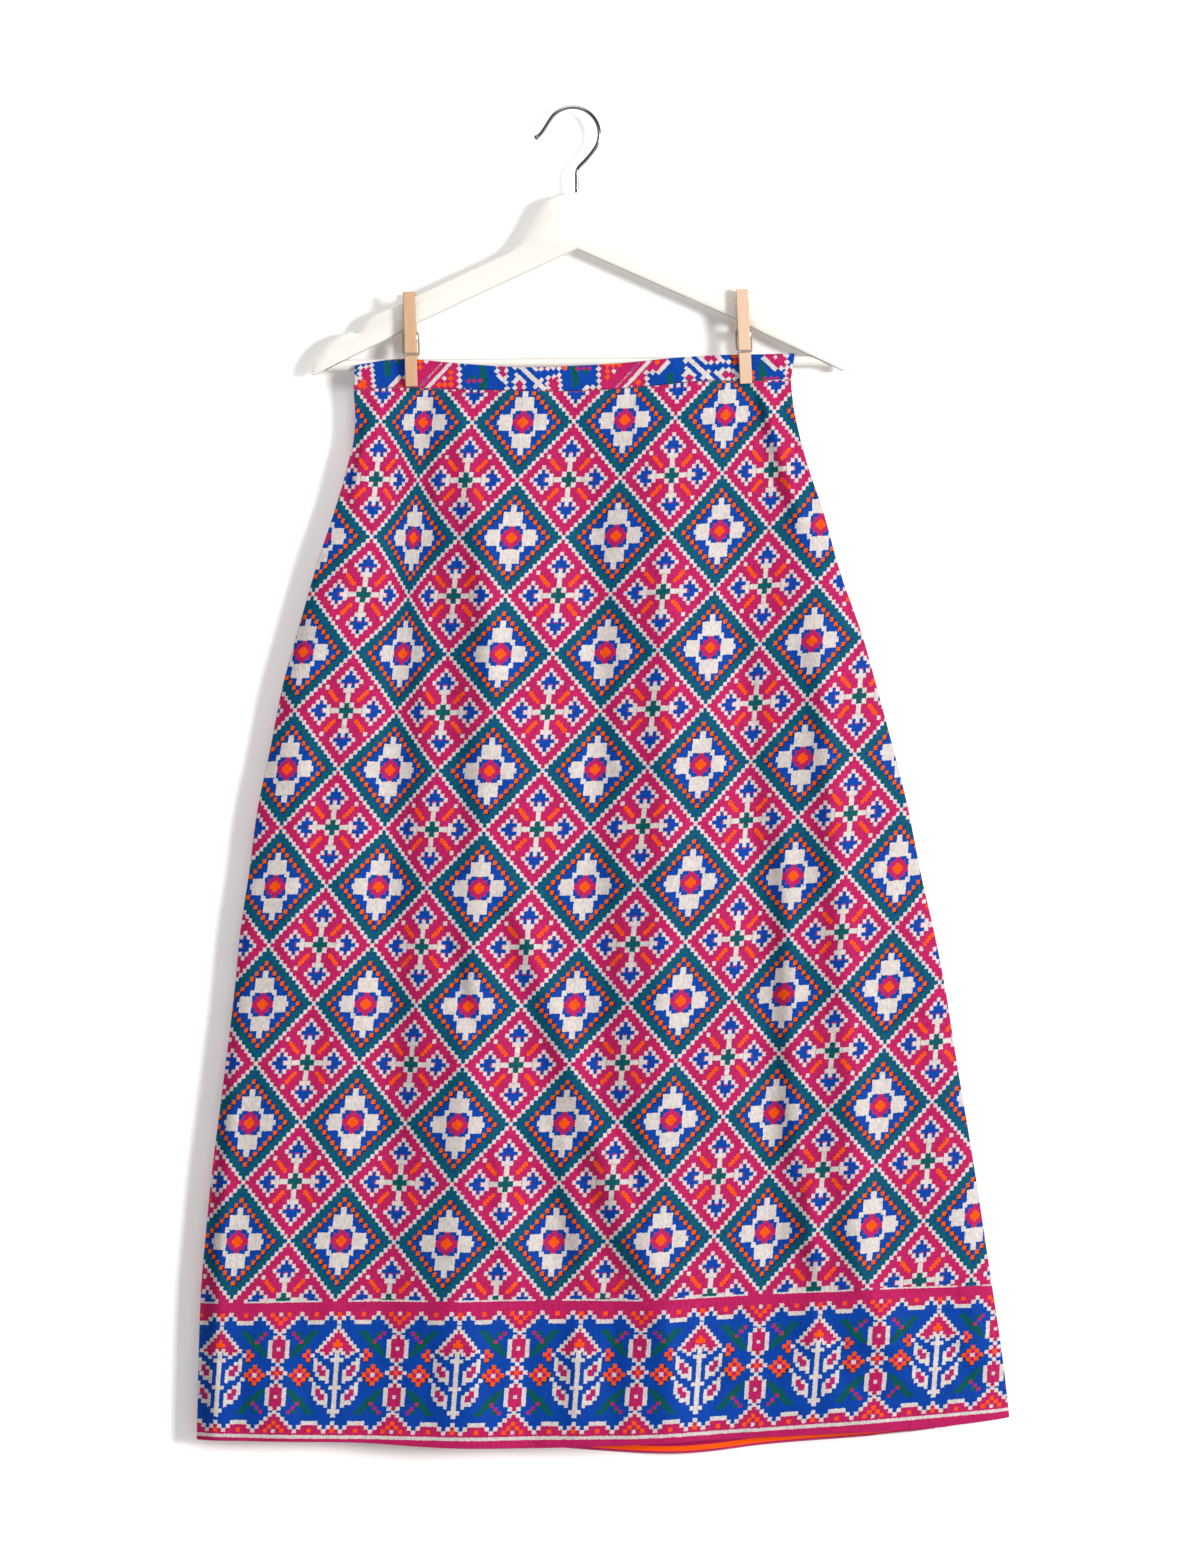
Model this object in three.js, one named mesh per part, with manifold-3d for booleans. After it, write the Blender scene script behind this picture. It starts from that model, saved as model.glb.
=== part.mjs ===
// An A-line skirt hung flat on a white wooden hanger, held to its bar by two wooden clothespins.
// Millimetres, +Z up, the skirt's front faces -Y. The origin is the inner top of the hook's crook,
// where a rail bears, and everything hangs below it.

import * as THREE from 'three';
import { mergeVertices } from 'three/addons/utils/BufferGeometryUtils.js';
import Module from 'manifold-3d';

const wasm = await Module();
wasm.setup();

const degrees = THREE.MathUtils.degToRad;
const clearance = 0.3; // between pieces that touch

// ---- Driving dimensions: hanger ----
const hangerThickness = 11;
const hangerEdgeRound = { depth: 3, inset: 1.8 };
const hangerTilt = degrees(0.5); // the right arm hangs a little higher
const hangerShift = 2.8; // sideways, at the height of the origin
const barRadius = 4.7;
const barHeight = -209; // of the bar's axis, in the hanger's own frame
const barReach = 199; // from the middle to the end of the bar's axis
const wireRadius = 1.6; // of the hook
const crookRadius = 22; // to the wire's centre line
const hookHoleDepth = 12;
const hookShaftInHole = 10;
const crookSpan = { start: degrees(-40), end: degrees(152) };
// The shaft above the neck, out from its own line, up to where the crook starts.
const hookShaft = [
  { out: 0, height: -60 },
  { out: 0, height: -52.5 },
  { out: 2, height: -47.5 },
  { out: 7.8, height: -41.4 },
];
// The hook's end past the crook, its tip last.
const hookEnd = [
  { x: -22.4, height: -14.9 },
  { x: -25.8, height: -19.8 },
  { x: -29.5, height: -23.1 },
];
const hookBallRadius = 1.4 * wireRadius;

// The neck and shoulder of one half of the hanger, from the middle out, the tip last.
// out is the distance from the middle, height the level on the upper edge.
const neckEdge = [
  { out: 0, height: -68.5 },
  { out: 13, height: -70.4 },
  { out: 24.5, height: -75.4 },
  { out: 30.3, height: -83.8 },
  { out: 37.7, height: -97.7 },
  { out: 47.5, height: -111.6 },
  { out: 59.5, height: -119.2 },
];
const shoulderEdge = [
  { out: 129.6, height: -151.0 },
  { out: 141.9, height: -157.4 },
  { out: 158, height: -163.9 },
  { out: 167, height: -167.8 },
  { out: 172.8, height: -173.6 },
  { out: 177.6, height: -181 },
  { out: 182.5, height: -183.3 },
  { out: 187.4, height: -181.6 },
  { out: 201.7, height: -188.1 },
  { out: 210.4, height: -196.6 },
  { out: 216.8, height: -206.4 },
  { out: 219.8, height: -216.3 },
];
// The arm's lower edge, from its tip back to the apex under the neck.
const lowerEdge = [
  { out: 217.2, height: -217.4 },
  { out: 208.3, height: -213 },
  { out: 151.7, height: -185.7 },
  { out: 129.6, height: -174 },
  { out: 0, height: -115.2 },
];

// ---- Driving dimensions: clothespins ----
const pegWidth = 10;
const pegLength = 77.5;
const pegThickness = 7;
const jawBelowBar = 18.5; // from the bar's axis down to the jaw's tip
const frontJawFace = -8.5; // y of each lever's inner face
const rearJawFace = 2.9;
const pivotHeight = 41; // of the spring's coil, above the jaw's tip
const grooveHeight = 26.2; // where the spring crosses each lever's outer face
const springRadius = 4.7; // outside of the coil
const springWire = 0.85; // radius
const springTurns = 5;
// One lever's ends: out is measured from the jaw's inner face, past the tip or below the top.
const jawNose = { inner: 0.6, outer: 4.4, taper: 14, chamfer: 1 };
const handleEnd = { inner: 4, outer: 6.1, innerDrop: 2, outerDrop: 3, face: 3.4 };
const rockingEdge = { above: 1, reliefAbove: 5.5, relief: 3.1 };
const pegs = [
  { name: 'peg_left', x: -132.5, lean: degrees(1.5) },
  { name: 'peg_right', x: 141.5, lean: degrees(2.6) },
];

// ---- Driving dimensions: skirt ----
const clothWall = 1.2;
const bandWall = 1.4;
const middlePlane = -6.65; // y of the plane between the front and the back
const frontFullness = 18; // how far the walls stand from that plane at the hem
const backFullness = 13;
const sideRound = 24; // width over which the side edges round away
const standProfile = { growth: 0.7, crownPower: 2.4, crownShare: 0.65, foldsFrom: 0.14 };
const waistSlack = 1.6; // the front band's bow between the pegs
const turnUpHeight = 19;
const turnUpWall = 1;
const hemFold = 1.4; // from the turned-up strip's lower edge down to the hem's edge

// The skirt's side edges: x of each at a height.
const sideEdges = [
  { height: -200, left: -178.2, right: 182.6 },
  { height: -231, left: -179.6, right: 178.8 },
  { height: -248, left: -178.4, right: 181.6 },
  { height: -264, left: -177.0, right: 185.3 },
  { height: -281, left: -180.4, right: 189 },
  { height: -297, left: -186.2, right: 193.9 },
  { height: -330, left: -193.5, right: 205.8 },
  { height: -346, left: -200.8, right: 210.3 },
  { height: -379, left: -211.2, right: 218.5 },
  { height: -428, left: -225.1, right: 236.6 },
  { height: -478, left: -239, right: 250.5 },
  { height: -527, left: -248, right: 263.6 },
  { height: -576, left: -259, right: 275.9 },
  { height: -625, left: -264.8, right: 285 },
  { height: -674, left: -272.7, right: 296.4 },
  { height: -724, left: -277.2, right: 306.3 },
  { height: -773, left: -283.3, right: 313.7 },
  { height: -822, left: -289.4, right: 321.9 },
  { height: -871, left: -295.8, right: 330 },
  { height: -920, left: -300.6, right: 337.4 },
  { height: -970, left: -305.1, right: 344.8 },
  { height: -1019, left: -306.7, right: 352.2 },
  { height: -1068, left: -307.9, right: 357.9 },
  { height: -1110, left: -308.8, right: 361.4 },
];

// Heights of the long edges, across the skirt from its left side, 0, to its right, 1.
const longEdges = [
  { across: 0, bandTop: -211.2, seam: -231.7, frontHem: -1092.7, backHem: -1092.2 },
  { across: 0.1, bandTop: -205.6, seam: -229.2, frontHem: -1093.1, backHem: -1092.6 },
  { across: 0.2, bandTop: -208.3, seam: -230.8, frontHem: -1094, backHem: -1093.4 },
  { across: 0.3, bandTop: -211.3, seam: -231.5, frontHem: -1097.6, backHem: -1096.6 },
  { across: 0.4, bandTop: -212.8, seam: -232.5, frontHem: -1098.5, backHem: -1098.3 },
  { across: 0.5, bandTop: -211.5, seam: -232.6, frontHem: -1096.6, backHem: -1104.1 },
  { across: 0.6, bandTop: -209.7, seam: -230.7, frontHem: -1092.7, backHem: -1105.8 },
  { across: 0.7, bandTop: -206, seam: -227.6, frontHem: -1089.4, backHem: -1097.6 },
  { across: 0.8, bandTop: -203, seam: -223.9, frontHem: -1085.7, backHem: -1093.1 },
  { across: 0.9, bandTop: -202.1, seam: -224.3, frontHem: -1082.1, backHem: -1085.3 },
  { across: 1, bandTop: -201.3, seam: -222.6, frontHem: -1074.6, backHem: -1074.6 },
];

// The soft flutes that fall from the waist, and the slanting folds by the side edges.
// rise is how far a fold stands out, or in where it is negative; spread is its half width.
const frontFolds = [
  { topX: -205, topZ: -400, endX: -246, endZ: -1110, rise: 4, spread: 30 },
  { topX: -141, topZ: -250, endX: -168, endZ: -1110, rise: -4, spread: 26 },
  { topX: -58, topZ: -270, endX: -105, endZ: -1110, rise: 5.5, spread: 34 },
  { topX: 16, topZ: -270, endX: -26, endZ: -1110, rise: -5, spread: 29 },
  { topX: 80, topZ: -270, endX: 68, endZ: -1110, rise: 5, spread: 32 },
  { topX: 145, topZ: -270, endX: 152, endZ: -1110, rise: -4.5, spread: 28 },
  { topX: 205, topZ: -371, endX: 238, endZ: -1110, rise: 5, spread: 32 },
  { topX: -84, topZ: -660, endX: 24, endZ: -960, rise: -3.5, spread: 21 },
  { topX: 150, topZ: -246, endX: 187, endZ: -318, rise: -3, spread: 10 },
  { topX: -150, topZ: -246, endX: -154, endZ: -338, rise: -2.5, spread: 9 },
];
const backFolds = [
  { topX: -120, topZ: -270, endX: -196, endZ: -1110, rise: 4.5, spread: 38 },
  { topX: -40, topZ: -270, endX: -92, endZ: -1110, rise: -4, spread: 34 },
  { topX: 30, topZ: -270, endX: 18, endZ: -1110, rise: 5, spread: 36 },
  { topX: 96, topZ: -270, endX: 118, endZ: -1110, rise: -4, spread: 33 },
  { topX: 150, topZ: -300, endX: 224, endZ: -1110, rise: 4.5, spread: 36 },
  { topX: -150, topZ: -250, endX: -178, endZ: -330, rise: -2.5, spread: 12 },
];

// ---- Materials ----
function material(color, roughness, metalness) {
  return new THREE.MeshStandardMaterial({ color, roughness, metalness });
}

const whitePaint = material(0xf4f3ef, 0.4, 0);
const chrome = material(0xc9ccd0, 0.12, 1);
const pegWood = material(0xd3ac7f, 0.65, 0);
const springSteel = material(0xa9abb0, 0.3, 1);
const printedCloth = material(0xbf2a66, 0.75, 0);
const bandCloth = material(0x1f4fb4, 0.75, 0);
const hemCloth = material(0xe0612a, 0.75, 0);

// ---- Helpers ----

// Reads a smooth curve through one column of a table, at a place along its key column.
function through(table, key, column, place) {
  const rising = table[table.length - 1][key] > table[0][key] ? 1 : -1;
  const last = table.length - 2;
  let row = 0;
  while (row < last && (place - table[row + 1][key]) * rising > 0) row += 1;
  const slope = (low, high) => {
    const a = table[Math.max(low, 0)];
    const b = table[Math.min(high, table.length - 1)];
    return (b[column] - a[column]) / (b[key] - a[key]);
  };
  const start = table[row];
  const end = table[row + 1];
  const span = end[key] - start[key];
  const t = THREE.MathUtils.clamp((place - start[key]) / span, 0, 1);
  const startSlope = slope(row - 1, row + 1) * span;
  const endSlope = slope(row, row + 2) * span;
  const t2 = t * t;
  const t3 = t2 * t;
  return (2 * t3 - 3 * t2 + 1) * start[column] + (t3 - 2 * t2 + t) * startSlope
    + (3 * t2 - 2 * t3) * end[column] + (t3 - t2) * endSlope;
}

function signedVolume(points, triangles) {
  const corner = new THREE.Vector3();
  let sixfold = 0;
  for (const [a, b, c] of triangles) {
    corner.crossVectors(points[b], points[c]);
    sixfold += points[a].dot(corner);
  }
  return sixfold / 6;
}

// A closed wall between two grids of points with the same columns and rows.
function wallBetween(columns, rows, nearPoint, farPoint) {
  const points = [];
  const faces = [nearPoint, farPoint].map((pointAt) => {
    const first = points.length;
    for (let row = 0; row <= rows; row += 1) {
      for (let column = 0; column <= columns; column += 1) points.push(pointAt(column, row));
    }
    return (column, row) => first + row * (columns + 1) + column;
  });
  const [near, far] = faces;
  const triangles = [];
  const quad = (a, b, c, d) => triangles.push([a, b, c], [a, c, d]);
  for (let row = 0; row < rows; row += 1) {
    for (let column = 0; column < columns; column += 1) {
      quad(near(column, row), near(column, row + 1), near(column + 1, row + 1), near(column + 1, row));
      quad(far(column, row), far(column + 1, row), far(column + 1, row + 1), far(column, row + 1));
    }
    quad(near(0, row), far(0, row), far(0, row + 1), near(0, row + 1));
    quad(near(columns, row), near(columns, row + 1), far(columns, row + 1), far(columns, row));
  }
  for (let column = 0; column < columns; column += 1) {
    quad(near(column, 0), near(column + 1, 0), far(column + 1, 0), far(column, 0));
    quad(near(column, rows), far(column, rows), far(column + 1, rows), near(column + 1, rows));
  }
  if (signedVolume(points, triangles) < 0) triangles.forEach((triangle) => triangle.reverse());
  const geometry = new THREE.BufferGeometry().setFromPoints(points);
  geometry.setIndex(triangles.flat());
  geometry.computeVertexNormals();
  return geometry;
}

function asSolid(geometry) {
  const bare = geometry.clone();
  bare.deleteAttribute('normal');
  bare.deleteAttribute('uv');
  const merged = mergeVertices(bare, 1e-4);
  return new wasm.Manifold(new wasm.Mesh({
    numProp: 3,
    vertProperties: new Float32Array(merged.attributes.position.array),
    triVerts: new Uint32Array(merged.index.array),
  }));
}

function asGeometry(solid) {
  const mesh = solid.getMesh();
  const geometry = new THREE.BufferGeometry();
  geometry.setAttribute('position', new THREE.BufferAttribute(mesh.vertProperties, 3));
  geometry.setIndex(new THREE.BufferAttribute(mesh.triVerts, 1));
  geometry.computeVertexNormals();
  return geometry;
}

function namedMesh(name, geometry, finish) {
  const mesh = new THREE.Mesh(geometry, finish);
  mesh.name = name;
  return mesh;
}

// A round wire along a curve.
function wire(curve, radius, sides, steps) {
  const section = new THREE.Shape();
  section.absarc(0, 0, radius, 0, 2 * Math.PI);
  return new THREE.ExtrudeGeometry(section, {
    extrudePath: curve,
    steps,
    curveSegments: sides / 2, // an arc gets two points for each
    bevelEnabled: false,
  });
}

// ---- Hanger ----

function smoothEdge(table, perSpan) {
  const spline = new THREE.SplineCurve(table.map((row) => new THREE.Vector2(row.out, row.height)));
  return spline.getPoints((table.length - 1) * perSpan);
}

function hangerOutline() {
  const pointsPerNeckSpan = 3;
  const pointsPerShoulderSpan = 2;
  const lower = lowerEdge.map((row) => new THREE.Vector2(row.out, row.height));
  const right = [
    ...smoothEdge(neckEdge, pointsPerNeckSpan),
    ...smoothEdge(shoulderEdge, pointsPerShoulderSpan),
    ...lower,
  ];
  const inner = right.slice(1, -1);
  const left = inner.map((point) => new THREE.Vector2(-point.x, point.y)).reverse();
  return new THREE.Shape([...right, ...left]);
}

function hangerBody() {
  const geometry = new THREE.ExtrudeGeometry(hangerOutline(), {
    depth: hangerThickness - 2 * hangerEdgeRound.depth,
    bevelThickness: hangerEdgeRound.depth,
    bevelSize: hangerEdgeRound.inset,
    bevelOffset: -hangerEdgeRound.inset,
    bevelSegments: 2,
  });
  geometry.translate(0, 0, hangerEdgeRound.depth - hangerThickness / 2);
  geometry.rotateX(Math.PI / 2);
  const hole = new THREE.CylinderGeometry(
    wireRadius + clearance, wireRadius + clearance, 2 * hookHoleDepth, 12);
  hole.rotateX(Math.PI / 2);
  hole.translate(0, 0, neckEdge[0].height);
  return asGeometry(asSolid(geometry).subtract(asSolid(hole)));
}

// The bar's ends are cut on the slant of the arms' inner edges.
function hangerBar() {
  const [nearTip, inward] = [lowerEdge[1], lowerEdge[2]];
  const slant = (inward.out - nearTip.out) / (inward.height - nearTip.height);
  const geometry = new THREE.CylinderGeometry(barRadius, barRadius, 2 * barReach, 20);
  geometry.rotateZ(Math.PI / 2);
  const places = geometry.attributes.position;
  for (let i = 0; i < places.count; i += 1) {
    const x = places.getX(i);
    places.setX(i, x + Math.sign(x) * slant * places.getZ(i));
  }
  geometry.translate(0, 0, barHeight);
  return geometry;
}

function hangerHook() {
  const crookCentre = wireRadius - crookRadius;
  const neck = neckEdge[0].height;
  const shaftX = hangerShift - Math.sin(hangerTilt) * neck;
  const arcSteps = 12;
  const at = (x, height) => new THREE.Vector3(x, 0, height);
  const points = [
    at(shaftX + Math.sin(hangerTilt) * hookShaftInHole, neck - hookShaftInHole),
    at(shaftX, neck),
    ...hookShaft.map(({ out, height }) => at(shaftX + out, height)),
  ];
  for (let step = 0; step <= arcSteps; step += 1) {
    const angle = THREE.MathUtils.lerp(crookSpan.start, crookSpan.end, step / arcSteps);
    points.push(at(crookRadius * Math.cos(angle), crookCentre + crookRadius * Math.sin(angle)));
  }
  points.push(...hookEnd.map(({ x, height }) => at(x, height)));
  const rod = wire(new THREE.CatmullRomCurve3(points, false, 'centripetal'), wireRadius, 8, 52);
  const ball = new THREE.SphereGeometry(hookBallRadius, 10, 7);
  const tip = points[points.length - 1];
  ball.translate(tip.x, tip.y, tip.z);
  return asGeometry(asSolid(rod).add(asSolid(ball)));
}

// ---- Clothespins ----
// Each is drawn about the bar's axis: x across, y in depth, z up.

// One wooden lever's side view: out is measured from the jaw's inner face, up from the bar's axis.
function leverProfile() {
  const tip = -jawBelowBar;
  const top = tip + pegLength;
  const pivot = tip + pivotHeight;
  const recess = barRadius + 2 * clearance;
  const recessAngle = Math.acos(rearJawFace / recess);
  const grooveRadius = springWire + clearance;
  const groove = tip + grooveHeight;
  const shape = new THREE.Shape();
  shape.moveTo(jawNose.inner, tip);
  shape.lineTo(jawNose.outer, tip);
  shape.lineTo(pegThickness, tip + jawNose.taper);
  shape.absarc(pegThickness, groove, grooveRadius, -Math.PI / 2, Math.PI / 2, true);
  shape.lineTo(pegThickness, top - handleEnd.outerDrop);
  shape.lineTo(handleEnd.outer, top);
  shape.lineTo(handleEnd.inner, top);
  shape.lineTo(handleEnd.face, top - handleEnd.innerDrop);
  shape.lineTo(rockingEdge.relief, pivot + rockingEdge.reliefAbove);
  shape.lineTo(0, pivot + rockingEdge.above);
  shape.absarc(-rearJawFace, 0, recess, recessAngle, -recessAngle, true);
  shape.lineTo(0, tip + jawNose.chamfer);
  return shape;
}

function lever(face, outward) {
  const edge = 0.6;
  const geometry = new THREE.ExtrudeGeometry(leverProfile(), {
    depth: pegWidth - 2 * edge,
    curveSegments: 4,
    bevelThickness: edge,
    bevelSize: edge,
    bevelOffset: -edge,
    bevelSegments: 1,
  });
  geometry.translate(0, 0, edge - pegWidth / 2);
  geometry.applyMatrix4(new THREE.Matrix4().makeBasis(
    new THREE.Vector3(0, outward, 0),
    new THREE.Vector3(0, 0, 1),
    new THREE.Vector3(outward, 0, 0)));
  geometry.translate(0, face, 0);
  return geometry;
}

// A torsion spring: its coil lies between the levers, one end crosses the front lever's outer
// face and the other the rear lever's.
function pegSpring() {
  const tip = -jawBelowBar;
  const side = pegWidth / 2 + springWire + clearance;
  const centreY = (frontJawFace + rearJawFace) / 2;
  const centreZ = tip + pivotHeight;
  const faceReach = centreY - frontJawFace + pegThickness;
  const coil = springRadius - springWire;
  const elbow = { reach: faceReach - 1.6, height: tip + grooveHeight + 2.2 };
  const endInset = 0.6; // of the spring's cut end from the lever's side
  const bendInset = 1.2; // of the bend at the lever's other side
  const away = Math.hypot(elbow.reach, centreZ - elbow.height);
  const toElbow = Math.atan2(elbow.height - centreZ, elbow.reach);
  const leave = toElbow + Math.acos(coil / away);
  const stepsPerTurn = 10;
  const swing = Math.PI - 2 * leave;
  const steps = Math.round(springTurns * stepsPerTurn + swing / (2 * Math.PI) * stepsPerTurn);
  const start = Math.PI - leave;
  const total = start - leave + springTurns * 2 * Math.PI;
  const points = [
    new THREE.Vector3(side - endInset, centreY - faceReach, tip + grooveHeight),
    new THREE.Vector3(0, centreY - faceReach, tip + grooveHeight),
    new THREE.Vector3(bendInset - side, centreY - faceReach, tip + grooveHeight),
    new THREE.Vector3(-side, centreY - elbow.reach, elbow.height),
  ];
  for (let step = 0; step <= steps; step += 1) {
    const share = step / steps;
    const angle = start - total * share;
    points.push(new THREE.Vector3(
      side * (2 * share - 1), centreY + coil * Math.cos(angle), centreZ + coil * Math.sin(angle)));
  }
  points.push(
    new THREE.Vector3(side, centreY + elbow.reach, elbow.height),
    new THREE.Vector3(side - bendInset, centreY + faceReach, tip + grooveHeight),
    new THREE.Vector3(0, centreY + faceReach, tip + grooveHeight),
    new THREE.Vector3(endInset - side, centreY + faceReach, tip + grooveHeight));
  return wire(new THREE.CatmullRomCurve3(points, false, 'centripetal'), springWire, 6, 76);
}

function clothespin({ name, x, lean }) {
  const group = new THREE.Group();
  const rise = (x - hangerShift) * Math.sin(hangerTilt);
  group.position.set(x, 0, barHeight + rise);
  group.rotation.y = -lean;
  group.add(
    namedMesh(`${name}_front`, lever(frontJawFace, -1), pegWood),
    namedMesh(`${name}_rear`, lever(rearJawFace, 1), pegWood),
    namedMesh(`${name}_spring`, pegSpring(), springSteel));
  return group;
}

// ---- Skirt ----

function clothX(across, height) {
  const left = through(sideEdges, 'height', 'left', height);
  const right = through(sideEdges, 'height', 'right', height);
  return THREE.MathUtils.lerp(left, right, across);
}

function clothWidth(height) {
  return clothX(1, height) - clothX(0, height);
}

function longEdge(column, across) {
  return through(longEdges, 'across', column, across);
}

// The front layers' small bow between the two pegs, where the waist isn't pinched.
function bow(x) {
  const pinch = pegWidth / 2 + 4;
  const ease = 50;
  const fromLeft = THREE.MathUtils.smoothstep(x - pegs[0].x, pinch, pinch + ease);
  const fromRight = THREE.MathUtils.smoothstep(pegs[1].x - x, pinch, pinch + ease);
  return waistSlack * fromLeft * fromRight;
}

function foldDepth(folds, x, z) {
  let depth = 0;
  for (const fold of folds) {
    const runX = fold.endX - fold.topX;
    const runZ = fold.endZ - fold.topZ;
    const along = ((x - fold.topX) * runX + (z - fold.topZ) * runZ) / (runX * runX + runZ * runZ);
    const t = THREE.MathUtils.clamp(along, 0, 1);
    const away = Math.hypot(x - fold.topX - t * runX, z - fold.topZ - t * runZ) / fold.spread;
    depth += fold.rise * Math.exp(-away * away);
  }
  return depth;
}

// How far a wall stands from the middle plane. down is 0 at the waist seam and 1 at the hem.
function standOff(side, across, down, x, z) {
  const edge = Math.min(across, 1 - across) * clothWidth(z) / sideRound;
  const rounding = Math.sqrt(1 - (1 - Math.min(edge, 1)) ** 2);
  const { growth, crownPower, crownShare, foldsFrom } = standProfile;
  const crown = 1 - Math.abs(2 * across - 1) ** crownPower;
  const belly = side.fullness * down ** growth * THREE.MathUtils.lerp(rounding, crown, crownShare);
  const ease = THREE.MathUtils.smoothstep(down, 0, foldsFrom);
  const folding = foldDepth(side.folds, x, z) * rounding * ease;
  const slack = side.bows ? bow(x) * (1 - down) ** 6 : 0;
  return Math.max(belly + folding, 0) + slack;
}

const front = { outward: -1, fullness: frontFullness, folds: frontFolds, hem: 'frontHem', bows: true };
const back = { outward: 1, fullness: backFullness, folds: backFolds, hem: 'backHem', bows: false };

// More columns near the side edges, where the cloth rounds away.
function acrossAt(column, columns) {
  const even = column / columns;
  const crowded = (1 - Math.cos(Math.PI * even)) / 2;
  return THREE.MathUtils.lerp(even, crowded, 0.55);
}

// A point of a skirt panel, lift outward from its inner face.
function panelPoint(side, across, down, lift) {
  const seam = longEdge('seam', across);
  const height = THREE.MathUtils.lerp(seam, longEdge(side.hem, across), down);
  const x = clothX(across, height);
  const away = clearance / 2 + standOff(side, across, down, x, height) + lift;
  return new THREE.Vector3(x, middlePlane + side.outward * away, height);
}

function panel(side, columns, rows) {
  const layer = (lift) => (column, row) => (
    panelPoint(side, acrossAt(column, columns), (row / rows) ** 1.15, lift));
  return wallBetween(columns, rows, layer(clothWall), layer(0));
}

// A band half follows the panel's top edge, from the seam up.
function band(side, columns) {
  const rows = 2;
  const layer = (lift) => (column, row) => {
    const across = acrossAt(column, columns);
    const foot = longEdge('seam', across) + clearance;
    const height = THREE.MathUtils.lerp(longEdge('bandTop', across), foot, row / rows);
    const x = clothX(across, height);
    const away = clearance / 2 + (side.bows ? bow(x) : 0) + lift;
    return new THREE.Vector3(x, middlePlane + side.outward * away, height);
  };
  return wallBetween(columns, rows, layer(bandWall), layer(0));
}

// The hem allowance, turned up inside the panel, on the same columns as the panel. It stops short
// of the side seams, where the layers close up.
function turnUp(side, columns) {
  const rows = 1;
  const skipped = 4;
  const layer = (lift) => (column, row) => {
    const across = acrossAt(column + skipped, columns);
    const length = longEdge('seam', across) - longEdge(side.hem, across);
    const above = row === 0 ? hemFold + turnUpHeight : hemFold;
    return panelPoint(side, across, 1 - above / length, lift);
  };
  return wallBetween(columns - 2 * skipped, rows, layer(-clearance), layer(-clearance - turnUpWall));
}

// ---- Assembly ----

const hanger = new THREE.Group();
hanger.position.x = hangerShift;
hanger.rotation.y = -hangerTilt;
hanger.add(
  namedMesh('hanger_body', hangerBody(), whitePaint),
  namedMesh('hanger_bar', hangerBar(), whitePaint));

const skirtOnHanger = new THREE.Group();
skirtOnHanger.add(
  hanger,
  namedMesh('hanger_hook', hangerHook(), chrome),
  namedMesh('waistband_front', band(front, 36), bandCloth),
  namedMesh('waistband_back', band(back, 28), bandCloth),
  namedMesh('skirt_front', panel(front, 36, 30), printedCloth),
  namedMesh('skirt_back', panel(back, 28, 24), printedCloth),
  namedMesh('hem_turnup_front', turnUp(front, 36), hemCloth),
  namedMesh('hem_turnup_back', turnUp(back, 28), hemCloth));
for (const peg of pegs) skirtOnHanger.add(clothespin(peg));

export default skirtOnHanger;
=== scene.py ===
"""The looks of an A-line skirt on a wooden coat hanger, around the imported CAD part.

Metres, +Z up, the skirt's front faces -Y. The origin is the inner top of the hook's crook.
The cloth pieces take their outline and depth from the solids they stand for, and add
creases, rolled edges and the woven print.
"""

import math

import bpy
import numpy as np
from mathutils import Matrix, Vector
from mathutils.bvhtree import BVHTree


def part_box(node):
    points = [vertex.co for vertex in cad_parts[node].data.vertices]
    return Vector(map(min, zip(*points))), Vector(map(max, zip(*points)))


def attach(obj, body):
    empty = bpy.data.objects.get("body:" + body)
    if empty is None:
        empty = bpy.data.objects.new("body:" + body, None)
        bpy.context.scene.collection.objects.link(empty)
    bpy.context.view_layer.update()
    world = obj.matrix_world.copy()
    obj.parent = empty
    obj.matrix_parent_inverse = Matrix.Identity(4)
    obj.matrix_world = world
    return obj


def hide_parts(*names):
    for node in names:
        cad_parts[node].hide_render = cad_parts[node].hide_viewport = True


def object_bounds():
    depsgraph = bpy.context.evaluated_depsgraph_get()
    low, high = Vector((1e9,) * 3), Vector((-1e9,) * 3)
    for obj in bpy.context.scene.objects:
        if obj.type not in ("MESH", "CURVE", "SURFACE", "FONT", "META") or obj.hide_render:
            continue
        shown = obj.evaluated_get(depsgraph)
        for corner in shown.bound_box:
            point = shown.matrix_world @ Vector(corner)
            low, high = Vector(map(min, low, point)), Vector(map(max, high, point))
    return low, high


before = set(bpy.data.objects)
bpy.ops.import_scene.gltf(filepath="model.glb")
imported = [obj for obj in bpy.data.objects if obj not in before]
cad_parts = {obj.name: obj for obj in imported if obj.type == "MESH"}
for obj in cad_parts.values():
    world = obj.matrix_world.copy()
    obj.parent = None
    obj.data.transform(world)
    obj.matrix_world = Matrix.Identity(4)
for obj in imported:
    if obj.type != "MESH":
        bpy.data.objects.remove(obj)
cad_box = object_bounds()

MM = 0.001

# ---- The camera's frame ----
PICTURE_WIDE, PICTURE_TALL = 1200, 1563
PIXEL = 0.82 * MM  # the size of a picture pixel in the picture plane
ORIGIN_PIXEL = (572.5, 107.5)  # where the origin shows
CAMERA_AWAY = 5.0  # from the picture plane
PICTURE_PLANE = -12 * MM  # its y: between the hanger and the front of the skirt
SENSOR = 36.0

# ---- Cloth ----
CLOTH_WALL = 1.2 * MM
BAND_WALL = 1.4 * MM
SEAM_GAP = 0.3 * MM
HEM_FOLD = 1.4 * MM
TURN_UP = 19 * MM
TURN_UP_WALL = 1.0 * MM

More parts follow.
